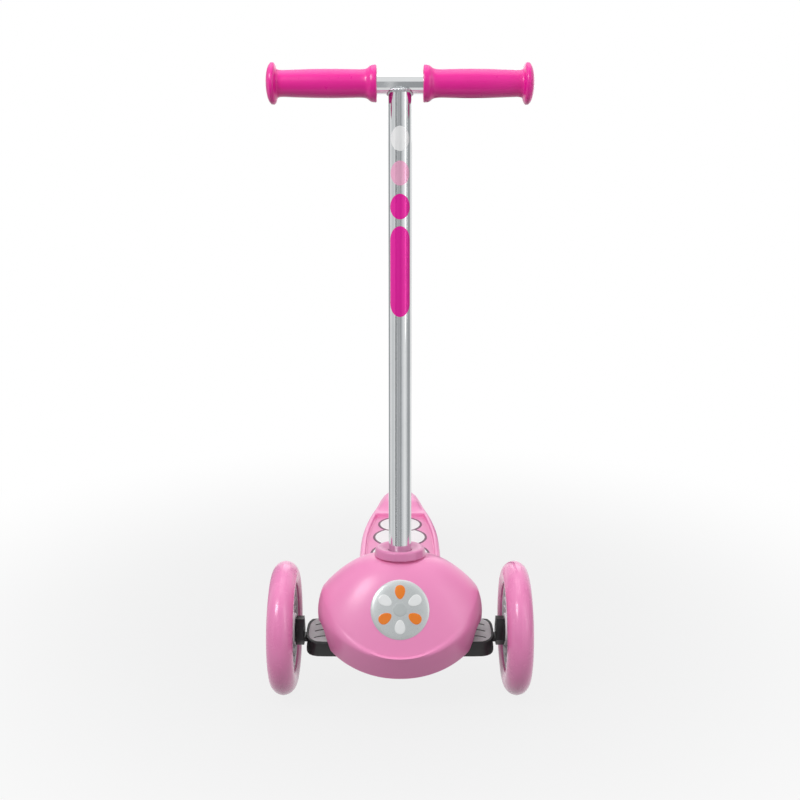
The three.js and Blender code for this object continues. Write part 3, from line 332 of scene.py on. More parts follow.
def prism(outline, low, high, axis="Z"):
    def place(a, b, c):
        return {"Z": (a, b, c), "X": (c, a, b), "Y": (a, c, b)}[axis]
    ends = [[place(a, b, level) for a, b in outline] for level in (low, high)]
    return joinRings(ends, capped=True)


def merged(parts):
    points, faces = [], []
    for morePoints, moreFaces in parts:
        start = len(points)
        points += morePoints
        faces += [tuple(start + i for i in face) for face in moreFaces]
    return points, faces


# One mesh cut by or joined to others; the helpers are removed afterwards
def carve(obj, others, operation="DIFFERENCE"):
    for other in others:
        step = obj.modifiers.new("carve", "BOOLEAN")
        step.operation, step.object, step.solver = operation, other, "EXACT"
        settled = bpy.data.meshes.new_from_object(obj.evaluated_get(bpy.context.evaluated_depsgraph_get()))
        obj.modifiers.clear()
        obj.data = settled
        bpy.data.objects.remove(other)
    return obj


# Small rounded edges on a mesh that has flat faces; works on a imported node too, as it only adds modifiers
def softenEdges(obj, widthMm, angle=32, segments=2):
    weld = obj.modifiers.new("weld", "WELD")
    weld.merge_threshold = 0.002 * mm
    bevel = obj.modifiers.new("softEdge", "BEVEL")
    bevel.width, bevel.segments, bevel.limit_method = widthMm * mm, segments, "ANGLE"
    bevel.angle_limit = math.radians(angle)
    bevel.harden_normals = True
    bevel.use_clamp_overlap = True


def dressNode(name, material, widthMm, sharp=32):
    obj = nodes[name]
    obj.data.materials.clear()
    obj.data.materials.append(material)
    obj.data.shade_smooth()
    softenEdges(obj, widthMm, sharp)
    return obj


# Wheels

frontWheel = {
    "radius": 75, "tyreWidth": 29, "tyreDepth": 25, "rimWidth": 20, "rimWall": 4, "webWall": 3,
    "bossRadius": 16, "bossWidth": 24, "ribs": 24, "ribWall": 1.5, "centreX": 131, "centreY": frontAxleY,
    "crownShare": 0.36, "partLine": 0.22, "ribWaistShare": 0.62,
}
rearWheel = {
    "radius": 40, "tyreWidth": 26, "tyreDepth": 14, "rimWidth": 20, "rimWall": 3, "webWall": 3,
    "bossRadius": 15, "bossWidth": 24, "ribs": 12, "ribWall": 1.5, "centreX": 0, "centreY": rearAxleY,
    "crownShare": 0.36, "partLine": 0.22, "ribWaistShare": 0.62,
}
bearingLook = {"outer": 11, "bore": 4, "width": 7, "race": 2.1, "shieldDrop": 0.5}


def tyreProfile(wheel):
    seat = wheel["radius"] - wheel["tyreDepth"] + seatGap
    centre = seat + wheel["tyreDepth"] * wheel["crownShare"]
    reach = wheel["radius"] - centre
    half = wheel["tyreWidth"] / 2
    lip = math.acos((seat - centre) / reach)
    points = []
    for i in range(49):
        angle = -lip + 2 * lip * i / 48
        # the mould's parting line stands up round the crown
        line = wheel["partLine"] * max(0.0, 1 - abs(angle) / 0.05)
        points.append((centre + (reach - wheel["partLine"]) * math.cos(angle) + line,
                       half * math.sin(angle)))
    return points


def addWheel(tag, body, wheel, side=1):
    centre = (side * wheel["centreX"], wheel["centreY"], wheel["radius"])
    tyre = addObject("tyre." + tag, *turned(tyreProfile(wheel), 112, "X", centre))
    dress(tyre, body, pinkPolyurethane, ["tyre_" + tag], 50)
    rim = wheel["radius"] - wheel["tyreDepth"]
    rimInner, halfRim = rim - wheel["rimWall"], wheel["rimWidth"] / 2
    boss, halfBoss, web = wheel["bossRadius"], wheel["bossWidth"] / 2, wheel["webWall"] / 2
    pocket, step = bearingLook["outer"] + seatGap, halfBoss - bearingLook["width"] - seatGap
    sideLine = [(pocket - 2.2, step), (pocket, step), (pocket, halfBoss), (boss, halfBoss), (boss + 1.4, web),
                (rimInner - 1, web), (rimInner, halfRim), (rim, halfRim)]
    outline = sideLine + [(r, -h) for r, h in reversed(sideLine)]
    parts = [turned(roundCorners(outline, 0.9, 3), 96, "X", centre)]
    for i in range(wheel["ribs"]):
        angle = 2 * math.pi * (i + 0.5) / wheel["ribs"]
        middle = (boss + rimInner) / 2
        edge = [(boss - 1, halfBoss - 2), (middle, halfRim * wheel["ribWaistShare"]),
                (rimInner + 1, halfRim - 1)]
        shape = edge + [(r, -h) for r, h in reversed(edge)]
        half = wheel["ribWall"] / 2
        ends = []
        for offset in (-half, half):
            ring = []
            for r, h in shape:
                u = r * math.cos(angle) - offset * math.sin(angle)
                v = r * math.sin(angle) + offset * math.cos(angle)
                ring.append((centre[0] + h, centre[1] + u, centre[2] + v))
            ends.append(ring)
        parts.append(joinRings(ends, capped=True))
    hub = addObject("hub." + tag, *merged(parts), weld=1e-7)
    dress(hub, body, whiteNylon, ["hub_" + tag], 34)
    half = bearingLook["width"] / 2
    inner, outer = bearingLook["bore"] + bearingLook["race"], bearingLook["outer"] - bearingLook["race"]
    face = half - bearingLook["shieldDrop"]
    ball = [(bearingLook["bore"], half), (inner, half), (inner, face), (outer, face), (outer, half),
            (bearingLook["outer"], half)]
    ring = roundCorners(ball + [(r, -h) for r, h in reversed(ball)], 0.35, 2)
    for number, hand in ((1, -1), (2, 1)):
        shift = hand * (wheel["bossWidth"] - bearingLook["width"]) / 2
        place = (centre[0] + shift, centre[1], centre[2])
        piece = addObject("bearing.%s.%d" % (tag, number), *turned(ring, 48, "X", place))
        dress(piece, body, zincSteel, ["bearing_%s_%d" % (tag, number)], 30)
    dressNode("bearing_spacer_" + tag, zincSteel, 0.3)


addWheel("front_left", "wheel_front_left", frontWheel, 1)
addWheel("front_right", "wheel_front_right", frontWheel, -1)
addWheel("rear", "wheel_rear", rearWheel)
print("wheels made")


# Column, bar and grips

columnLook = {
    "rakeDeg": 5, "pivotZ": 105, "radius": 12.7, "wall": 1.4, "foot": 130.3, "barZ": 676,
    "barRadius": 11.1, "barWall": 1.3, "barHalf": 133, "mouthDrop": 8.5, "beadRadius": 2.4, "beadAt": 11.3,
}
gripLook = {
    "outer": 142, "inner": 24.5, "body": 14.6, "neck": 13.7, "flange": 21.9, "flangeWall": 5,
    "dome": 6, "collar": 19.6, "collarWall": 8,
}
# Film shapes down the front of the column: width and height, and how far their middle is below the bar
filmShapes = [
    ("whiteSpot", "white", 19.5, 26, 58),
    ("palePinkSpot", "palePink", 20, 26, 94),
    ("magentaSpot", "magenta", 21, 27, 129),
    ("magentaStripe", "magenta", 21, 97, 198),
]
rake = math.radians(columnLook["rakeDeg"])
leanPoint = Vector((0, frontAxleY, columnLook["pivotZ"]))
columnTurn = Matrix.Rotation(-rake, 3, "X")


# From upright column coordinates, with the column's own line at x = y = 0, to the raked column
def onColumn(point):
    upright = Vector((point[0], point[1], point[2] - columnLook["pivotZ"]))
    return tuple(columnTurn @ upright + leanPoint)


def columnPiece(name, points, faces, weld=1e-6):
    return addObject(name, [onColumn(p) for p in points], faces, weld)


# Height of the column's mouth, round the column: it follows the bar's underside, but at front and back
# it stays mouthDrop below the bar's middle
def saddleHeight(x, y, gap=0.0):
    reach = columnLook["barRadius"] + gap
    drop = math.sqrt(max(0.0, reach * reach - y * y))
    return columnLook["barZ"] - max(drop, columnLook["mouthDrop"])


tubeSteps = 72
rings = []
for radius, top in ((columnLook["radius"] - columnLook["wall"], False), (columnLook["radius"], False),
                    (columnLook["radius"], True), (columnLook["radius"] - columnLook["wall"], True)):
    ring = []
    for i in range(tubeSteps):
        angle = 2 * math.pi * i / tubeSteps
        x, y = radius * math.cos(angle), radius * math.sin(angle)
        ring.append((x, y, saddleHeight(x, y, seatGap) if top else columnLook["foot"]))
    rings.append(ring)
column = columnPiece("columnTube", *joinRings(rings, closed=True))
dress(column, "frame", chromedSteel, ["column"], 40)

barEdge = [(columnLook["barRadius"] - columnLook["barWall"], -columnLook["barHalf"]),
           (columnLook["barRadius"], -columnLook["barHalf"]),
           (columnLook["barRadius"], columnLook["barHalf"]),
           (columnLook["barRadius"] - columnLook["barWall"], columnLook["barHalf"])]
crossbar = columnPiece("crossbarTube", *turned(barEdge, tubeSteps, "X", (0, 0, columnLook["barZ"])))
dress(crossbar, "frame", chromedBar, ["crossbar"], 40)

# Weld bead: a rippled ring that follows the saddle where the two tubes meet
rings = []
beadSteps = 180
for i in range(beadSteps):
    angle = 2 * math.pi * i / beadSteps
    out = Vector((math.cos(angle), math.sin(angle), 0))
    seat = saddleHeight(*(out.xy * columnLook["radius"])) + 0.4
    middle = out * columnLook["beadAt"] + Vector((0, 0, seat))
    swell = columnLook["beadRadius"] * (1 + 0.06 * math.sin(angle * 30) + 0.03 * math.sin(angle * 47 + 1))
    rings.append([tuple(middle + out * swell * 1.25 * math.cos(t) + Vector((0, 0, swell * math.sin(t))))
                  for t in [2 * math.pi * k / 12 for k in range(12)]])
bead = columnPiece("weldBead", *joinRings(rings, closed=True))
dress(bead, "frame", zincSteel, ["bar_weld"], 60)

# Vinyl film: each shape lies on the front of the column, a tenth of a millimetre proud of it
films = {"white": whiteFilm, "palePink": palePinkFilm, "magenta": magentaFilm}
for name, film, width, height, drop in filmShapes:
    skin = columnLook["radius"] + 0.12
    middle = columnLook["barZ"] - drop
    halfW, halfH = width / 2, height / 2
    rows = 40
    points, faces = [], []
    for i in range(rows + 1):
        z = -halfH + height * (0.5 - 0.5 * math.cos(math.pi * i / rows))
        straight = max(0.0, halfH - halfH * min(1.0, width * 1.35 / height))
        past = max(0.0, abs(z) - straight) / (halfH - straight)
        reach = halfW * math.sqrt(max(0.0, 1 - past * past))
        spread = min(reach, columnLook["radius"] * 0.97)
        for k in range(17):
            arcAt = math.asin(max(-0.97, min(0.97, spread / skin))) * (k / 8 - 1)
            points.append((skin * math.sin(arcAt), -skin * math.cos(arcAt), middle + z))
    for i in range(rows):
        for k in range(16):
            a = i * 17 + k
            faces.append((a, a + 1, a + 18, a + 17))
    piece = columnPiece("film." + name, points, faces, 1e-7)
    dress(piece, "frame", films[film], (), 60)

# Grips: a barrel, a flared inner collar with a sunk face, and a mushroom end
domeFrom = gripLook["outer"] - gripLook["dome"]
flangeFrom = domeFrom - gripLook["flangeWall"]
collarTo = gripLook["inner"] + gripLook["collarWall"]
bore = columnLook["barRadius"] + 0.15
gripLine = [
    (bore, gripLook["inner"] + 1.2),
    (gripLook["collar"] - 5.2, gripLook["inner"] + 1.2),
    (gripLook["collar"] - 3.4, gripLook["inner"]),
    (gripLook["collar"], gripLook["inner"] + 0.4),
    (gripLook["collar"] - 0.6, collarTo - 1.5),
    (gripLook["body"] + 0.7, collarTo + 2.6),
    (gripLook["body"] - 0.1, collarTo + 9),
    (gripLook["body"] + 0.5, (collarTo + flangeFrom) / 2 - 10),
    (gripLook["body"] + 0.2, (collarTo + flangeFrom) / 2 + 14),
    (gripLook["neck"], flangeFrom - 5),
    (gripLook["neck"] + 0.9, flangeFrom - 0.8),
    (gripLook["flange"] - 2.4, flangeFrom + 0.6),
    (gripLook["flange"], flangeFrom + 2.6),
    (gripLook["flange"] - 0.4, domeFrom + 0.6),
]
for i in range(1, 9):
    angle = math.pi / 2 * i / 9
    gripLine.append(((gripLook["flange"] - 0.8) * math.cos(angle),
                     domeFrom + gripLook["dome"] * math.sin(angle)))
gripLine += [(0.4, gripLook["outer"]), (0.4, columnLook["barHalf"] + 0.4),
             (bore, columnLook["barHalf"] + 0.4)]
gripRound = [0, 0.8, 1.2, 1.6, 2.4, 3.5, 6, 20, 20, 4, 1.6, 1.4, 2.2, 1.2] + [0.6] * 8 + [0, 0, 0]
for tag, side in (("left", 1), ("right", -1)):
    line = [(r, h * side) for r, h in roundCorners(gripLine, gripRound, 5)]
    grip = columnPiece("grip." + tag, *turned(line, 80, "X", (0, 0, columnLook["barZ"])))
    dress(grip, "frame", magentaPvc, ["grip_" + tag], 50)
print("column and grips made")


# Nose shell, collar and badge

shellLook = {
    "halfWidth": 93, "reach": 78, "back": 80, "bottomFront": 46, "bottomSide": 68,
    "creaseFront": 75, "creaseSide": 121, "creaseBack": 108, "neckRadius": 22, "neckTop": 161, "wall": 3,
    "archFront": 34, "archTop": 92, "archCorner": 10, "archBack": 53.5, "saddleZ": 80.3,
    "creaseShare": 0.965, "creaseSideShare": 0.95, "frontShare": 0.87, "sideShare": 0.945,
    "widestFront": 0.97, "widestSide": 0.55, "squareShare": 0.96,
    "shoulderShare": 0.12, "faceShare": 0.5,
}


# A point of the skin: turn runs round it from the front, and along is 0 at the lower edge, 1 at the crease
# and 2 at the neck
def shellPoint(turn, along):
    look = shellLook
    s, c = math.sin(turn), math.cos(turn)
    rise = s * s
    isFront = c > 0
    s = math.copysign(abs(s) ** look["squareShare"], s)
    c = math.copysign(abs(c) ** look["squareShare"], c)
    low = look["creaseFront"] if isFront else look["creaseBack"]
    crease = low + (look["creaseSide"] - low) * rise
    bottom = look["bottomFront"] + (look["bottomSide"] - look["bottomFront"]) * rise
    reach = look["reach"] if isFront else look["back"]
    drawn = look["creaseShare"] + (look["creaseSideShare"] - look["creaseShare"]) * rise
    if along < 1:
        widest = look["widestFront"] + (look["widestSide"] - look["widestFront"]) * rise
        out = min(along / widest, 1)
        below = (1 - rise) * out + rise * math.sin(out * math.pi / 2)
        above = max(0.0, (along - widest) / (1 - widest)) ** 2
        wide, deep = [e + (1 - e) * below - (1 - drawn) * above
                      for e in (look["sideShare"], look["frontShare"])]
        return Vector((look["halfWidth"] * wide * s, -reach * deep * c, bottom + (crease - bottom) * along))
    t = along - 1
    neck = columnTurn @ Vector((0, 0, look["neckTop"] - columnLook["pivotZ"]))
    edgeX, edgeY = look["halfWidth"] * s * drawn, -reach * c * drawn
    ringX = look["neckRadius"] * math.sin(turn)
    ringY = neck.y - look["neckRadius"] * math.cos(turn)
    ringZ = columnLook["pivotZ"] + neck.z + look["neckRadius"] * math.cos(turn) * math.sin(rake)
    straight = look["faceShare"] * (1 - rise)
    lift = straight * t + (1 - straight) * math.sin(t * math.pi / 2)
    inward = t ** (1 + look["shoulderShare"] * rise)
    return Vector((edgeX + (ringX - edgeX) * inward, edgeY + (ringY - edgeY) * inward,
                   crease + (ringZ - crease) * lift))


def shellNormal(turn, along):
    d = 1e-3
    across = shellPoint(turn + d, along) - shellPoint(turn - d, along)
    up = shellPoint(turn, min(2, along + d)) - shellPoint(turn, max(0, along - d))
    return across.cross(up).normalized()


alongs = [i / 14 * 0.96 for i in range(15)] + [0.985, 1.0, 1.02] + [1.05 + 0.95 * i / 30 for i in range(31)]
rings = []
shellSteps = 144
for i in range(shellSteps):
    turn = 2 * math.pi * i / shellSteps
    outer = [shellPoint(turn, a) for a in alongs]
    inner = [p - shellNormal(turn, a) * shellLook["wall"] for p, a in zip(outer, alongs)]
    inner[0].z = outer[0].z
    inner[-1] = outer[-1] - Vector((0, 0, shellLook["wall"]))
    ring = outer + inner[::-1]
    rings.append([(p.x, p.y + frontAxleY, p.z) for p in ring])
shell = addObject("noseShell", *joinRings(rings, closed=True))
corner = shellLook["archCorner"]
arch = [(-shellLook["archFront"], 30)]
for i in range(9):
    angle = math.pi - math.pi / 2 * i / 8
    arch.append((-shellLook["archFront"] + corner + corner * math.cos(angle),
                 shellLook["archTop"] - corner + corner * math.sin(angle)))
arch += [(shellLook["archBack"], shellLook["archTop"]), (shellLook["archBack"], shellLook["saddleZ"]),
         (90, shellLook["saddleZ"]), (90, 30)]
cutter = addObject("cutter", *prism([(y + frontAxleY, z) for y, z in arch], -100, 100, "X"))
carve(shell, [cutter])
shellTree = BVHTree.FromObject(shell, bpy.context.evaluated_depsgraph_get())
dress(shell, "frame", pinkPolypropylene, ["front_shell"], 40)

# Collar: a ring with slightly flat facets outside and a sunk top that the column stands in
collarLook = {
    "radius": 27.5, "top": 171, "lip": 4, "flare": 1.5, "spigot": 21.7, "spigotBore": 18.1, "spigotDrop": 3,
    "hug": 13.0, "hugFrom": 166.5, "facets": 14, "facetFrom": 24.5, "facetShare": 0.55,
}
skirt = shellLook["neckTop"] + seatGap
collarTop, lipInner = collarLook["top"], collarLook["radius"] - collarLook["lip"]
collarLine = [
    (collarLook["hug"], collarLook["hugFrom"]),
    (collarLook["hug"], collarTop - 3.4),
    (collarLook["hug"] + 2.5, collarTop - 2.6),
    (lipInner - 2, collarTop - 0.6),
    (lipInner + 1.4, collarTop),
    (collarLook["radius"], collarTop - 1.3),
    (collarLook["radius"] + collarLook["flare"], skirt),
    (collarLook["spigot"], skirt),
    (collarLook["spigot"], skirt - collarLook["spigotDrop"]),
    (collarLook["spigotBore"], skirt - collarLook["spigotDrop"]),
    (collarLook["spigotBore"], collarLook["hugFrom"]),
]
points, faces = turned(roundCorners(collarLine, [0, 1, 1.5, 2, 2, 1.6, 0.5, 0, 0.6, 0.6, 0], 4), 168, "Z")
share = 2 * math.pi / collarLook["facets"]
shaped = []
for x, y, z in points:
    radius, angle = math.hypot(x, y), math.atan2(y, x) % share - share / 2
    outside = max(0.0, min(1.0, (radius - collarLook["facetFrom"]) / 2))
    flat = 1 - outside * collarLook["facetShare"] * (1 - math.cos(share / 2) / math.cos(angle))
    shaped.append((x * flat, y * flat, z))
collar = columnPiece("collarRing", shaped, faces)
# the collar wears the darker copy of the pink plastic: painted shade
dress(collar, "frame", shadedPolypropylene, ["collar"], 30)


# Badge pieces lie on the shell's face: a point of the badge is sent onto the skin square to the face
badgeLook = {
    "y": -55, "z": 121, "radius": 32, "height": 1.1, "edge": 3.5,
    "petalAt": 18.5, "petalLong": 7.6, "petalWide": 5.6, "hub": 7.4, "faceSlope": -0.42,
}
faceDown = Vector((0, 1, badgeLook["faceSlope"])).normalized()
faceUp = Vector((0, -faceDown.z, faceDown.y)).normalized()
badgeMiddle = Vector((0, badgeLook["y"], badgeLook["z"]))


def onFace(u, v, lift):
    start = (badgeMiddle + Vector((u, frontAxleY, 0)) + faceUp * v - faceDown * 60) * mm
    hit, normal, index, far = shellTree.ray_cast(start, faceDown)
    return tuple(hit / mm + normal * lift)


def domedPiece(name, outline, material, low, high, edge):
    centreU = sum(u for u, v in outline) / len(outline)
    centreV = sum(v for u, v in outline) / len(outline)
    rings = []
    span = max(math.hypot(u - centreU, v - centreV) for u, v in outline)
    for share, lift in [(1, 0), (1, 0.45), (1 - 0.35 * edge / span, 0.8), (1 - edge / span, 1.0)] + [
            ((1 - edge / span) * (1 - k / 6), 1.0) for k in range(1, 6)] + [(0.02, 1.0)]:
        rings.append([onFace(centreU + (u - centreU) * share, centreV + (v - centreV) * share,
                             low + (high - low) * lift) for u, v in outline])
    points, faces = joinRings(rings)
    last = (len(rings) - 1) * len(outline)
    faces.append(tuple(range(last, last + len(outline))))
    piece = addObject(name, points, faces, 1e-7)
    return dress(piece, "frame", material, (), 60)


def circleOutline(u, v, radius, steps=72):
    return [(u + radius * math.cos(2 * math.pi * i / steps), v + radius * math.sin(2 * math.pi * i / steps))
            for i in range(steps)]


domedPiece("badgeDisc", circleOutline(0, 0, badgeLook["radius"]), silverBadge, -0.3, badgeLook["height"],
           badgeLook["edge"])
top = badgeLook["height"]
# Six rounded petals round a hub
for i in range(6):
    angle = 2 * math.pi * i / 6 + math.pi / 6
    cu, cv = badgeLook["petalAt"] * math.cos(angle), badgeLook["petalAt"] * math.sin(angle)
    shape = []
    for k in range(40):
        t = 2 * math.pi * k / 40
        along = badgeLook["petalLong"] * math.cos(t)
        across = badgeLook["petalWide"] * math.sin(t) * (1 + 0.22 * math.cos(t))
        shape.append((cu + along * math.cos(angle) - across * math.sin(angle),
                      cv + along * math.sin(angle) + across * math.cos(angle)))
    ink = badgeInks["orange" if i % 2 else "white"]
    domedPiece("badgePetal.%d" % (i + 1), shape, ink, top - 0.05, top + 0.3, 1.2)
domedPiece("badgeHub", circleOutline(0, 0, badgeLook["hub"], 48), badgeInks["grey"], top - 0.05, top + 0.35,
           1.4)
print("shell, collar and badge made")


# Footboard with its fender
deckLook = {
    "front": 54, "rear": 482, "halfWidth": 54, "bottom": 46, "top": 80, "edge": 4.5, "wall": 3, "rim": 7,
    "treadDrop": 6, "treadFront": 88, "treadRear": 384, "ribFields": 7, "ribWall": 2.5, "spineAt": 16,
    "outline": [(0, 0.93), (0.14, 0.99), (0.34, 1), (0.55, 0.98), (0.71, 0.85), (0.84, 0.66), (0.93, 0.54),
                (0.985, 0.42), (1, 0.2)],
}
fenderLook = {
    "top": 93, "front": 385, "sideDrop": 5, "inset": 3.5, "square": 0.6, "skinGap": 4, "cheekGap": 2.5,
    "lugWall": 8, "lugRadius": 12, "lugHalf": 24, "lugRoot": 3.5, "boreRadius": 4, "accessRadius": 8.2,
    "rise": [(0, 0, 1), (0.14, 0.3, 0.99), (0.3, 0.78, 0.97), (0.48, 1, 0.94), (0.66, 0.98, 0.9),
             (0.82, 0.78, 0.85), (0.93, 0.42, 0.8), (1, 0, 0.7)],
}


# A smooth line through a table of points, evenly stepped in its first column
def smoothTable(table, steps):
    out = []
    for i in range(len(table) - 1):
        a, b, c, d = [Vector(table[max(0, min(len(table) - 1, n))]) for n in (i - 1, i, i + 1, i + 2)]
        for k in range(steps):
            t = k / steps
            out.append(0.5 * (2 * b + (c - a) * t + (2 * a - 5 * b + 4 * c - d) * t * t
                              + (3 * b - a - 3 * c + d) * t * t * t))
    out.append(Vector(table[-1]))
    return out


deckLength = deckLook["rear"] - deckLook["front"]
deckSide = [Vector((w * deckLook["halfWidth"], deckLook["front"] + deckLength * a))
            for a, w in [tuple(p) for p in smoothTable(deckLook["outline"], 8)]]


def deckOutline(inset):
    half = []
    for p in deckSide:
        y = min(max(p.y, deckLook["front"] + inset), deckLook["rear"] - max(inset, 0.02))
        half.append((max(p.x - inset, 0.3), y + frontAxleY))
    return half + [(-x, y) for x, y in reversed(half)]


def deckHalfWidth(y):
    table = deckLook["outline"]
    along = (y - deckLook["front"]) / deckLength
    for (a, wa), (b, wb) in zip(table, table[1:]):
        if along <= b:
            return deckLook["halfWidth"] * (wa + (wb - wa) * (along - a) / (b - a))
    return deckLook["halfWidth"] * table[-1][1]


def boxPiece(x0, x1, y0, y1, z0, z1):
    return addObject("cutter", *prism([(x0, y0), (x1, y0), (x1, y1), (x0, y1)], z0, z1))


def rodPiece(radius, x0, x1, y, z, steps=64):
    return addObject("cutter", *turned([(0, x0), (radius, x0), (radius, x1), (0, x1)], steps, "X", (0, y, z)))


edge = deckLook["edge"]
levels = [(edge * (1 - math.sin(t)), deckLook["bottom"] + edge * (1 - math.cos(t)))
          for t in [math.pi / 2 * k / 6 for k in range(7)]]
levels += [(edge * (1 - math.cos(t)), deckLook["top"] - edge * (1 - math.sin(t)))
           for t in [math.pi / 2 * k / 6 for k in range(7)]]
deck = addObject("footboard", *joinRings([[(x, y, z) for x, y in deckOutline(inset)] for inset, z in levels],
                                         capped=True))
rings = []
fenderLength = deckLook["rear"] - fenderLook["front"]
for along, rise, narrow in [tuple(p) for p in smoothTable(fenderLook["rise"], 5)]:
    y = fenderLook["front"] + fenderLength * along
    half = deckHalfWidth(min(y, deckLook["rear"] - fenderLook["inset"])) * narrow - fenderLook["inset"]
    base = deckLook["top"] - fenderLook["sideDrop"]
    height = fenderLook["sideDrop"] - 0.3 + (fenderLook["top"] - deckLook["top"]) * max(0, rise)
    ring = []
    for k in range(41):
        angle = math.pi * k / 40
        across = math.copysign(abs(math.cos(angle)) ** fenderLook["square"], math.cos(angle))
        ring.append((half * across, y + frontAxleY, base + height * math.sin(angle) ** fenderLook["square"]
                     if 0 < k < 40 else base))
    rings.append(ring)
fenderSolid = addObject("cutter", *joinRings(rings, capped=True))
wheelRoom = rearWheel["radius"] + fenderLook["skinGap"]
cheek = rearWheel["tyreWidth"] / 2 + fenderLook["cheekGap"]
lug = []
for k in range(17):
    angle = math.pi * (1.15 + 0.7 * k / 16)
    lug.append((rearAxleY + fenderLook["lugRadius"] * math.cos(angle),
                rearWheel["radius"] + fenderLook["lugRadius"] * math.sin(angle)))
lugTop = deckLook["bottom"] + fenderLook["lugRoot"]
lug = [(rearAxleY - fenderLook["lugHalf"], lugTop)] + lug + [(rearAxleY + fenderLook["lugHalf"], lugTop)]
lugs = [addObject("cutter", *prism(lug, side * cheek, side * (cheek + fenderLook["lugWall"]), "X"))
        for side in (-1, 1)]
carve(deck, [fenderSolid] + lugs, "UNION")

treadFloor = deckLook["top"] - deckLook["treadDrop"]
treadLine = [(x, y) for x, y in deckOutline(deckLook["rim"])
             if deckLook["treadFront"] < y - frontAxleY < deckLook["treadRear"]]
treadCorners = (0, len(treadLine) // 2 - 1, len(treadLine) // 2, len(treadLine) - 1)
treadLine = roundCorners(treadLine, [6 if i in treadCorners else 0 for i in range(len(treadLine))], 6)
# The recess from its floor up: inset and height, with rounded edges below and above
treadDrop = deckLook["treadDrop"]
treadLevels = [(0.9, 0), (0.4, 0.12), (0.1, 0.45), (0, 1), (0, treadDrop - 1.1), (-0.12, treadDrop - 0.6),
               (-0.45, treadDrop - 0.2), (-0.95, treadDrop - 0.02), (-1.0, treadDrop + 4)]
tread = addObject("cutter", *joinRings([[(x, y, treadFloor + up) for x, y in drawnIn(treadLine, inset)]
                                        for inset, up in treadLevels], capped=True))
ceiling = treadFloor - deckLook["wall"]
hollowEnd = rearAxleY - frontAxleY - rearWheel["radius"] - 2 * deckLook["rim"]
hollow = addObject("cutter", *prism(
    [(x, min(y, hollowEnd + frontAxleY)) for x, y in deckOutline(deckLook["wall"])], 42, ceiling))
pitch = (hollowEnd - deckLook["front"]) / deckLook["ribFields"]
halfRib = deckLook["ribWall"] / 2
ribs = [boxPiece(-60, 60, y - halfRib + frontAxleY, y + halfRib + frontAxleY, 40, ceiling + 2)
        for y in [deckLook["front"] + pitch * (i + 1) for i in range(deckLook["ribFields"] - 1)]]
ribs += [boxPiece(x - halfRib, x + halfRib, deckLook["front"] + frontAxleY, hollowEnd + frontAxleY, 40,
                  ceiling + 2)
         for x in (-deckLook["spineAt"], deckLook["spineAt"])]
carve(hollow, ribs)
slotRound = rodPiece(wheelRoom, -cheek, cheek, rearAxleY, rearWheel["radius"], 96)
slotDown = boxPiece(-cheek, cheek, rearAxleY - wheelRoom, rearAxleY + wheelRoom, -4, rearWheel["radius"])
axleBore = rodPiece(fenderLook["boreRadius"], -60, 60, rearAxleY, rearWheel["radius"], 32)
access = [rodPiece(fenderLook["accessRadius"], side * (cheek + fenderLook["lugWall"]), side * 60, rearAxleY,
                   rearWheel["radius"], 48)
          for side in (-1, 1)]
carve(deck, [tread, hollow, slotRound, slotDown, axleBore] + access)
softenEdges(deck, 0.5, 40, 3)
dress(deck, "frame", pinkPolypropylene, ["deck"], 40)

# Screen print on the tread: a deeper pink field and a row of white discs edged in plum, each round a blossom
printLook = {
    "places": [(-95, 40), (-32, 40), (31, 40), (93, 38), (146, 32)], "outline": 3.2, "petals": 5,
    "petalDepth": 0.4, "blossom": 9.5, "ring": 11.5, "inkMm": 0.12, "stepMm": 0.02, "fieldInset": 1.5,
}
printFloor = treadFloor + 0.02


def petalledOutline(cy, radius, depth):
    shape = []
    for k in range(120):
        t = 2 * math.pi * k / 120
        reach = radius * (1 - depth + depth * abs(math.sin(t * printLook["petals"] / 2)))
        shape.append((-reach * math.sin(t), cy - reach * math.cos(t)))
    return shape


fieldLine = drawnIn(treadLine, printLook["fieldInset"])
field = addObject("treadField", *prism(fieldLine, printFloor, printFloor + printLook["inkMm"] / 2))
dress(field, "frame", deepPinkInk, (), 40)
layers = [
    ("printEdges", plumInk, 0, None),
    ("printDiscs", whiteInk, 0, -printLook["outline"]),
    ("printRings", plumInk, printLook["petalDepth"], printLook["ring"]),
    ("printBlossoms", deepPinkInk, printLook["petalDepth"], printLook["blossom"]),
]
for step, (name, ink, depth, size) in enumerate(layers):
    shapes = []
    for number, (cy, radius) in enumerate(printLook["places"]):
        reach = size if depth else radius + (size or 0)
        high = printFloor + printLook["inkMm"] + printLook["stepMm"] * (number * len(layers) + step)
        shapes.append(prism(petalledOutline(cy, reach, depth), printFloor, high))
    dress(addObject(name, *merged(shapes)), "frame", ink, (), 40)
print("footboard made")


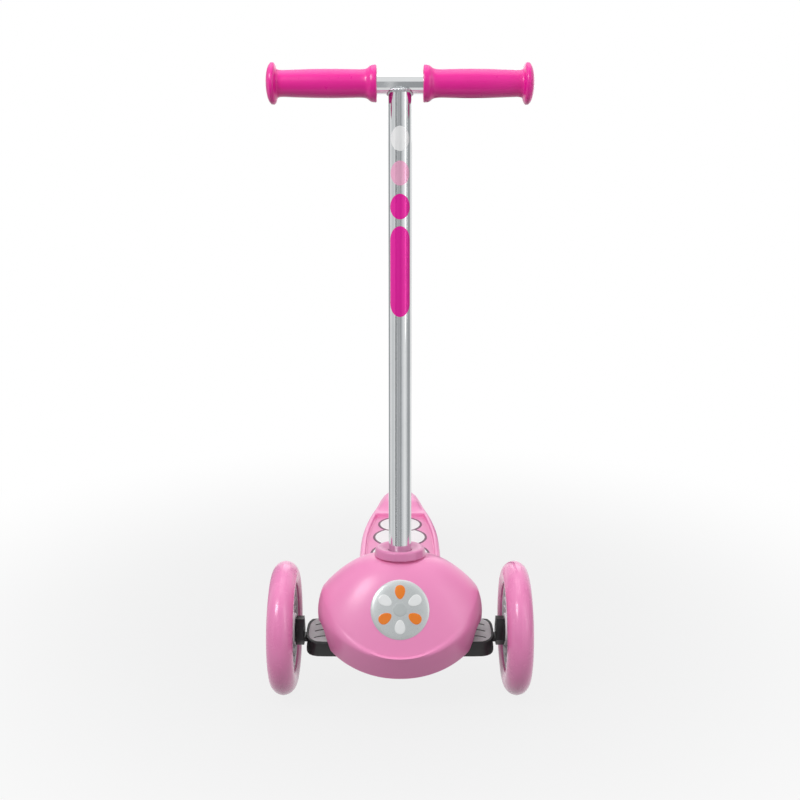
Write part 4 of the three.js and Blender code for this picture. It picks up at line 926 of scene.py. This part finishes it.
# Axle beam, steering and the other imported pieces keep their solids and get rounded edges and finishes
hookLook = {
    "count": 3, "pitch": 13, "radius": 26, "width": 1.7, "span": 1.02, "middleX": 84, "steps": 24,
    "topZ": 72.25, "rise": 0.125,
}
dressNode("axle_beam", blackNylon, 0.6, 30)
for tag in ("left", "right"):
    dressNode("axle_tread_" + tag, greyAbs, 0.35, 30)
    side = 1 if tag == "left" else -1
    for number in range(hookLook["count"]):
        middle = hookLook["pitch"] * (number - (hookLook["count"] - 1) / 2) - hookLook["radius"]
        points, faces = [], []
        for k in range(hookLook["steps"] + 1):
            angle = math.pi / 2 + hookLook["span"] * (k / hookLook["steps"] - 0.5)
            for reach, drop in ((0.5, 0.25), (-0.5, 0.25), (-0.5, 1.0), (0.5, 1.0)):
                far = hookLook["radius"] + reach * hookLook["width"]
                x, y = hookLook["middleX"] + far * math.cos(angle), middle + far * math.sin(angle)
                points.append((side * x, y + frontAxleY, hookLook["topZ"] + hookLook["rise"] * y - drop))
            if k:
                faces += [(4 * k - 4 + j, 4 * k - 4 + (j + 1) % 4, 4 * k + (j + 1) % 4, 4 * k + j)
                          for j in range(4)]
        faces += [(3, 2, 1, 0), tuple(4 * hookLook["steps"] + j for j in range(4))]
        hook = addObject("treadHook_%s.%d" % (tag, number + 1), points, faces)
        dress(hook, "front_axle", blackRubber, (), 40)
    dressNode("knuckle_" + tag, blackNylon, 0.6, 30)
    dressNode("kingpin_" + tag, zincSteel, 0.4)
    dressNode("wheel_bolt_" + tag, zincSteel, 0.5, 28)
    dressNode("bracket_screw_" + tag, zincSteel, 0.4)
    dressNode("rear_spacer_" + tag, zincSteel, 0.3)
for name in ("pivot_bolt", "pivot_nut", "pivot_sleeve", "tie_rod", "steer_lever", "column_bolt", "rear_axle",
             "rear_axle_nut"):
    dressNode(name, zincSteel, 0.4)
for name in ("pivot_bush_front", "pivot_bush_rear"):
    dressNode(name, blackRubber, 0.5)
dressNode("head_bracket", blackPowderCoat, 0.8)
print("packed pieces dressed")


# Floor, backdrop, lamps and camera
studioLook = {
    "paper": "#707072", "paperTwo": "#787879",
    "world": 0.52, "key": 12.5, "fill": 4.6, "top": 5.0, "back": 3.5,
    "lensMm": 47.7, "cameraBack": 1150, "cameraElevation": 13.0, "targetZ": 341,
    "cardsAway": 560, "cardHeight": 860,
    "cards": [(-132, 330, "#a9abad"), (-76, 400, "#dddedf"), (-44, 90, "#6f7174"), (-34, 70, "#929497"),
              (-15, 260, "#b3b4b6"), (8, 180, "#a4a6a8"), (27, 160, "#dcdddf"), (69, 130, "#dcddde"),
              (98, 420, "#a9abad"), (168, 60, "#4a4b4e")],
}


# 1 where floor and backdrop show plain white: to the camera, in mirrors and through clear things
def whiteRays(tree):
    paths = addNode(tree, "ShaderNodeLightPath")
    seen = addNode(tree, "ShaderNodeMath", {
        0: paths.outputs["Is Camera Ray"], 1: paths.outputs["Is Glossy Ray"]}, operation="MAXIMUM")
    return addNode(tree, "ShaderNodeMath", {
        0: seen.outputs[0], 1: paths.outputs["Is Transmission Ray"]}, operation="MAXIMUM")


floorPoints = [(-3000, -3500), (3000, -3500), (3000, 2500), (-3000, 2500)]
floor = addObject("floor", [(x, y, -0.2) for x, y in floorPoints], [(0, 1, 2, 3)])
floorMaterial, tree, place = startMaterial("paleStudioPaper")
paper = addNode(tree, "ShaderNodeTexNoise", {"Vector": place, "Scale": 90.0, "Detail": 3.0})
paperColour = addNode(tree, "ShaderNodeMix", {
    0: paper.outputs["Fac"], 6: linearFromHex(studioLook["paper"]),
    7: linearFromHex(studioLook["paperTwo"])}, data_type="RGBA")
paperShader = addNode(tree, "ShaderNodeBsdfPrincipled", {
    "Base Color": paperColour.outputs[2], "Roughness": 0.9})
away = addNode(tree, "ShaderNodeVectorMath", {0: place}, operation="LENGTH")
away = addNode(tree, "ShaderNodeMapRange", {
    "Value": away.outputs["Value"], "From Min": 0.2, "From Max": 0.9, "To Min": 0.84, "To Max": 1.0},
    interpolation_type="SMOOTHSTEP")
seen = addNode(tree, "ShaderNodeMath", {0: whiteRays(tree).outputs[0], 1: away.outputs[0]},
               operation="MULTIPLY")
white = addNode(tree, "ShaderNodeEmission", {"Color": (1, 1, 1, 1), "Strength": 1.0})
floorShader = addNode(tree, "ShaderNodeMixShader", {
    0: seen.outputs[0], 1: paperShader.outputs[0], 2: white.outputs[0]})
endMaterial(tree, floorShader)
floor.data.materials.append(floorMaterial)

# Grey cards stand round the stage, out of the picture, so that chrome has something to mirror. They are
# painted light: each glows with a set emission tone in place of a lit card, and only reflections see them
for number, (azimuth, width, tone) in enumerate(studioLook["cards"]):
    angle = math.radians(azimuth)
    out = Vector((math.sin(angle), -math.cos(angle), 0))
    along = Vector((math.cos(angle), math.sin(angle), 0)) * width / 2
    middle = Vector((0, frontAxleY, 0)) + out * studioLook["cardsAway"]
    low, high = Vector((0, 0, 5)), Vector((0, 0, studioLook["cardHeight"]))
    corners = [middle - along + low, middle + along + low, middle + along + high, middle - along + high]
    card = addObject("card.%d" % (number + 1), [tuple(c) for c in corners], [(0, 1, 2, 3)])
    cardMaterial, tree, place = startMaterial("glowingGreyPanel.%d" % (number + 1))
    glowMottle = addNode(tree, "ShaderNodeTexNoise", {"Vector": place, "Scale": 300.0, "Detail": 4.0})
    tint = addNode(tree, "ShaderNodeMix", {
        0: glowMottle.outputs["Fac"], 6: linearFromHex(tone), 7: [c * 1.15 for c in linearFromHex(tone)]},
        data_type="RGBA")
    # painted light: the card glows with its own tone instead of being lit by the lamps
    cardShader = addNode(tree, "ShaderNodeEmission", {"Color": tint.outputs[2], "Strength": 1.0})
    endMaterial(tree, cardShader)
    card.data.materials.append(cardMaterial)
    card.visible_camera, card.visible_diffuse, card.visible_shadow = False, False, False

world = bpy.data.worlds.new("studioWorld")
bpy.context.scene.world = world
world.use_nodes = True
tree = world.node_tree
tree.nodes.clear()
soft = addNode(tree, "ShaderNodeBackground", {"Color": (1, 1, 1, 1), "Strength": studioLook["world"]})
white = addNode(tree, "ShaderNodeBackground", {"Color": (1, 1, 1, 1), "Strength": 1.0})
blend = addNode(tree, "ShaderNodeMixShader", {
    0: whiteRays(tree).outputs[0], 1: soft.outputs[0], 2: white.outputs[0]})
addNode(tree, "ShaderNodeOutputWorld", {"Surface": blend.outputs[0]})


def addLamp(name, power, sizeMm, place, aim):
    data = bpy.data.lights.new(name, "AREA")
    data.energy, data.shape, data.size, data.size_y = power, "RECTANGLE", sizeMm[0] * mm, sizeMm[1] * mm
    lamp = bpy.data.objects.new(name, data)
    bpy.context.scene.collection.objects.link(lamp)
    lamp.location = Vector(place) * mm
    lamp.rotation_mode = "QUATERNION"
    lamp.rotation_quaternion = (Vector(aim) * mm - lamp.location).to_track_quat("-Z", "Y")
    return lamp


addLamp("keySoftbox", studioLook["key"], (560, 560), (-900, -1100, 1500), (0, -100, 200))
addLamp("fillSoftbox", studioLook["fill"], (900, 1200), (1300, -700, 900), (0, -100, 200))
addLamp("topSoftbox", studioLook["top"], (1200, 1200), (0, 100, 1900), (0, 0, 0))
addLamp("backSoftbox", studioLook["back"], (1200, 800), (200, 1500, 1000), (0, 0, 200))

cameraData = bpy.data.cameras.new("studioCamera")
camera = bpy.data.objects.new("studioCamera", cameraData)
bpy.context.scene.collection.objects.link(camera)
bpy.context.scene.camera = camera
cameraData.lens, cameraData.sensor_width = studioLook["lensMm"], 36
elevation = math.radians(studioLook["cameraElevation"])
target = Vector((0, frontAxleY, studioLook["targetZ"])) * mm
back = Vector((0, -math.cos(elevation), math.sin(elevation)))
camera.location = target + back * studioLook["cameraBack"] * mm
camera.rotation_mode = "QUATERNION"
camera.rotation_quaternion = (-back).to_track_quat("-Z", "Y")
cameraData.clip_start, cameraData.clip_end = 0.05, 20
bpy.context.scene.view_settings.view_transform = "Standard"
print("studio made")
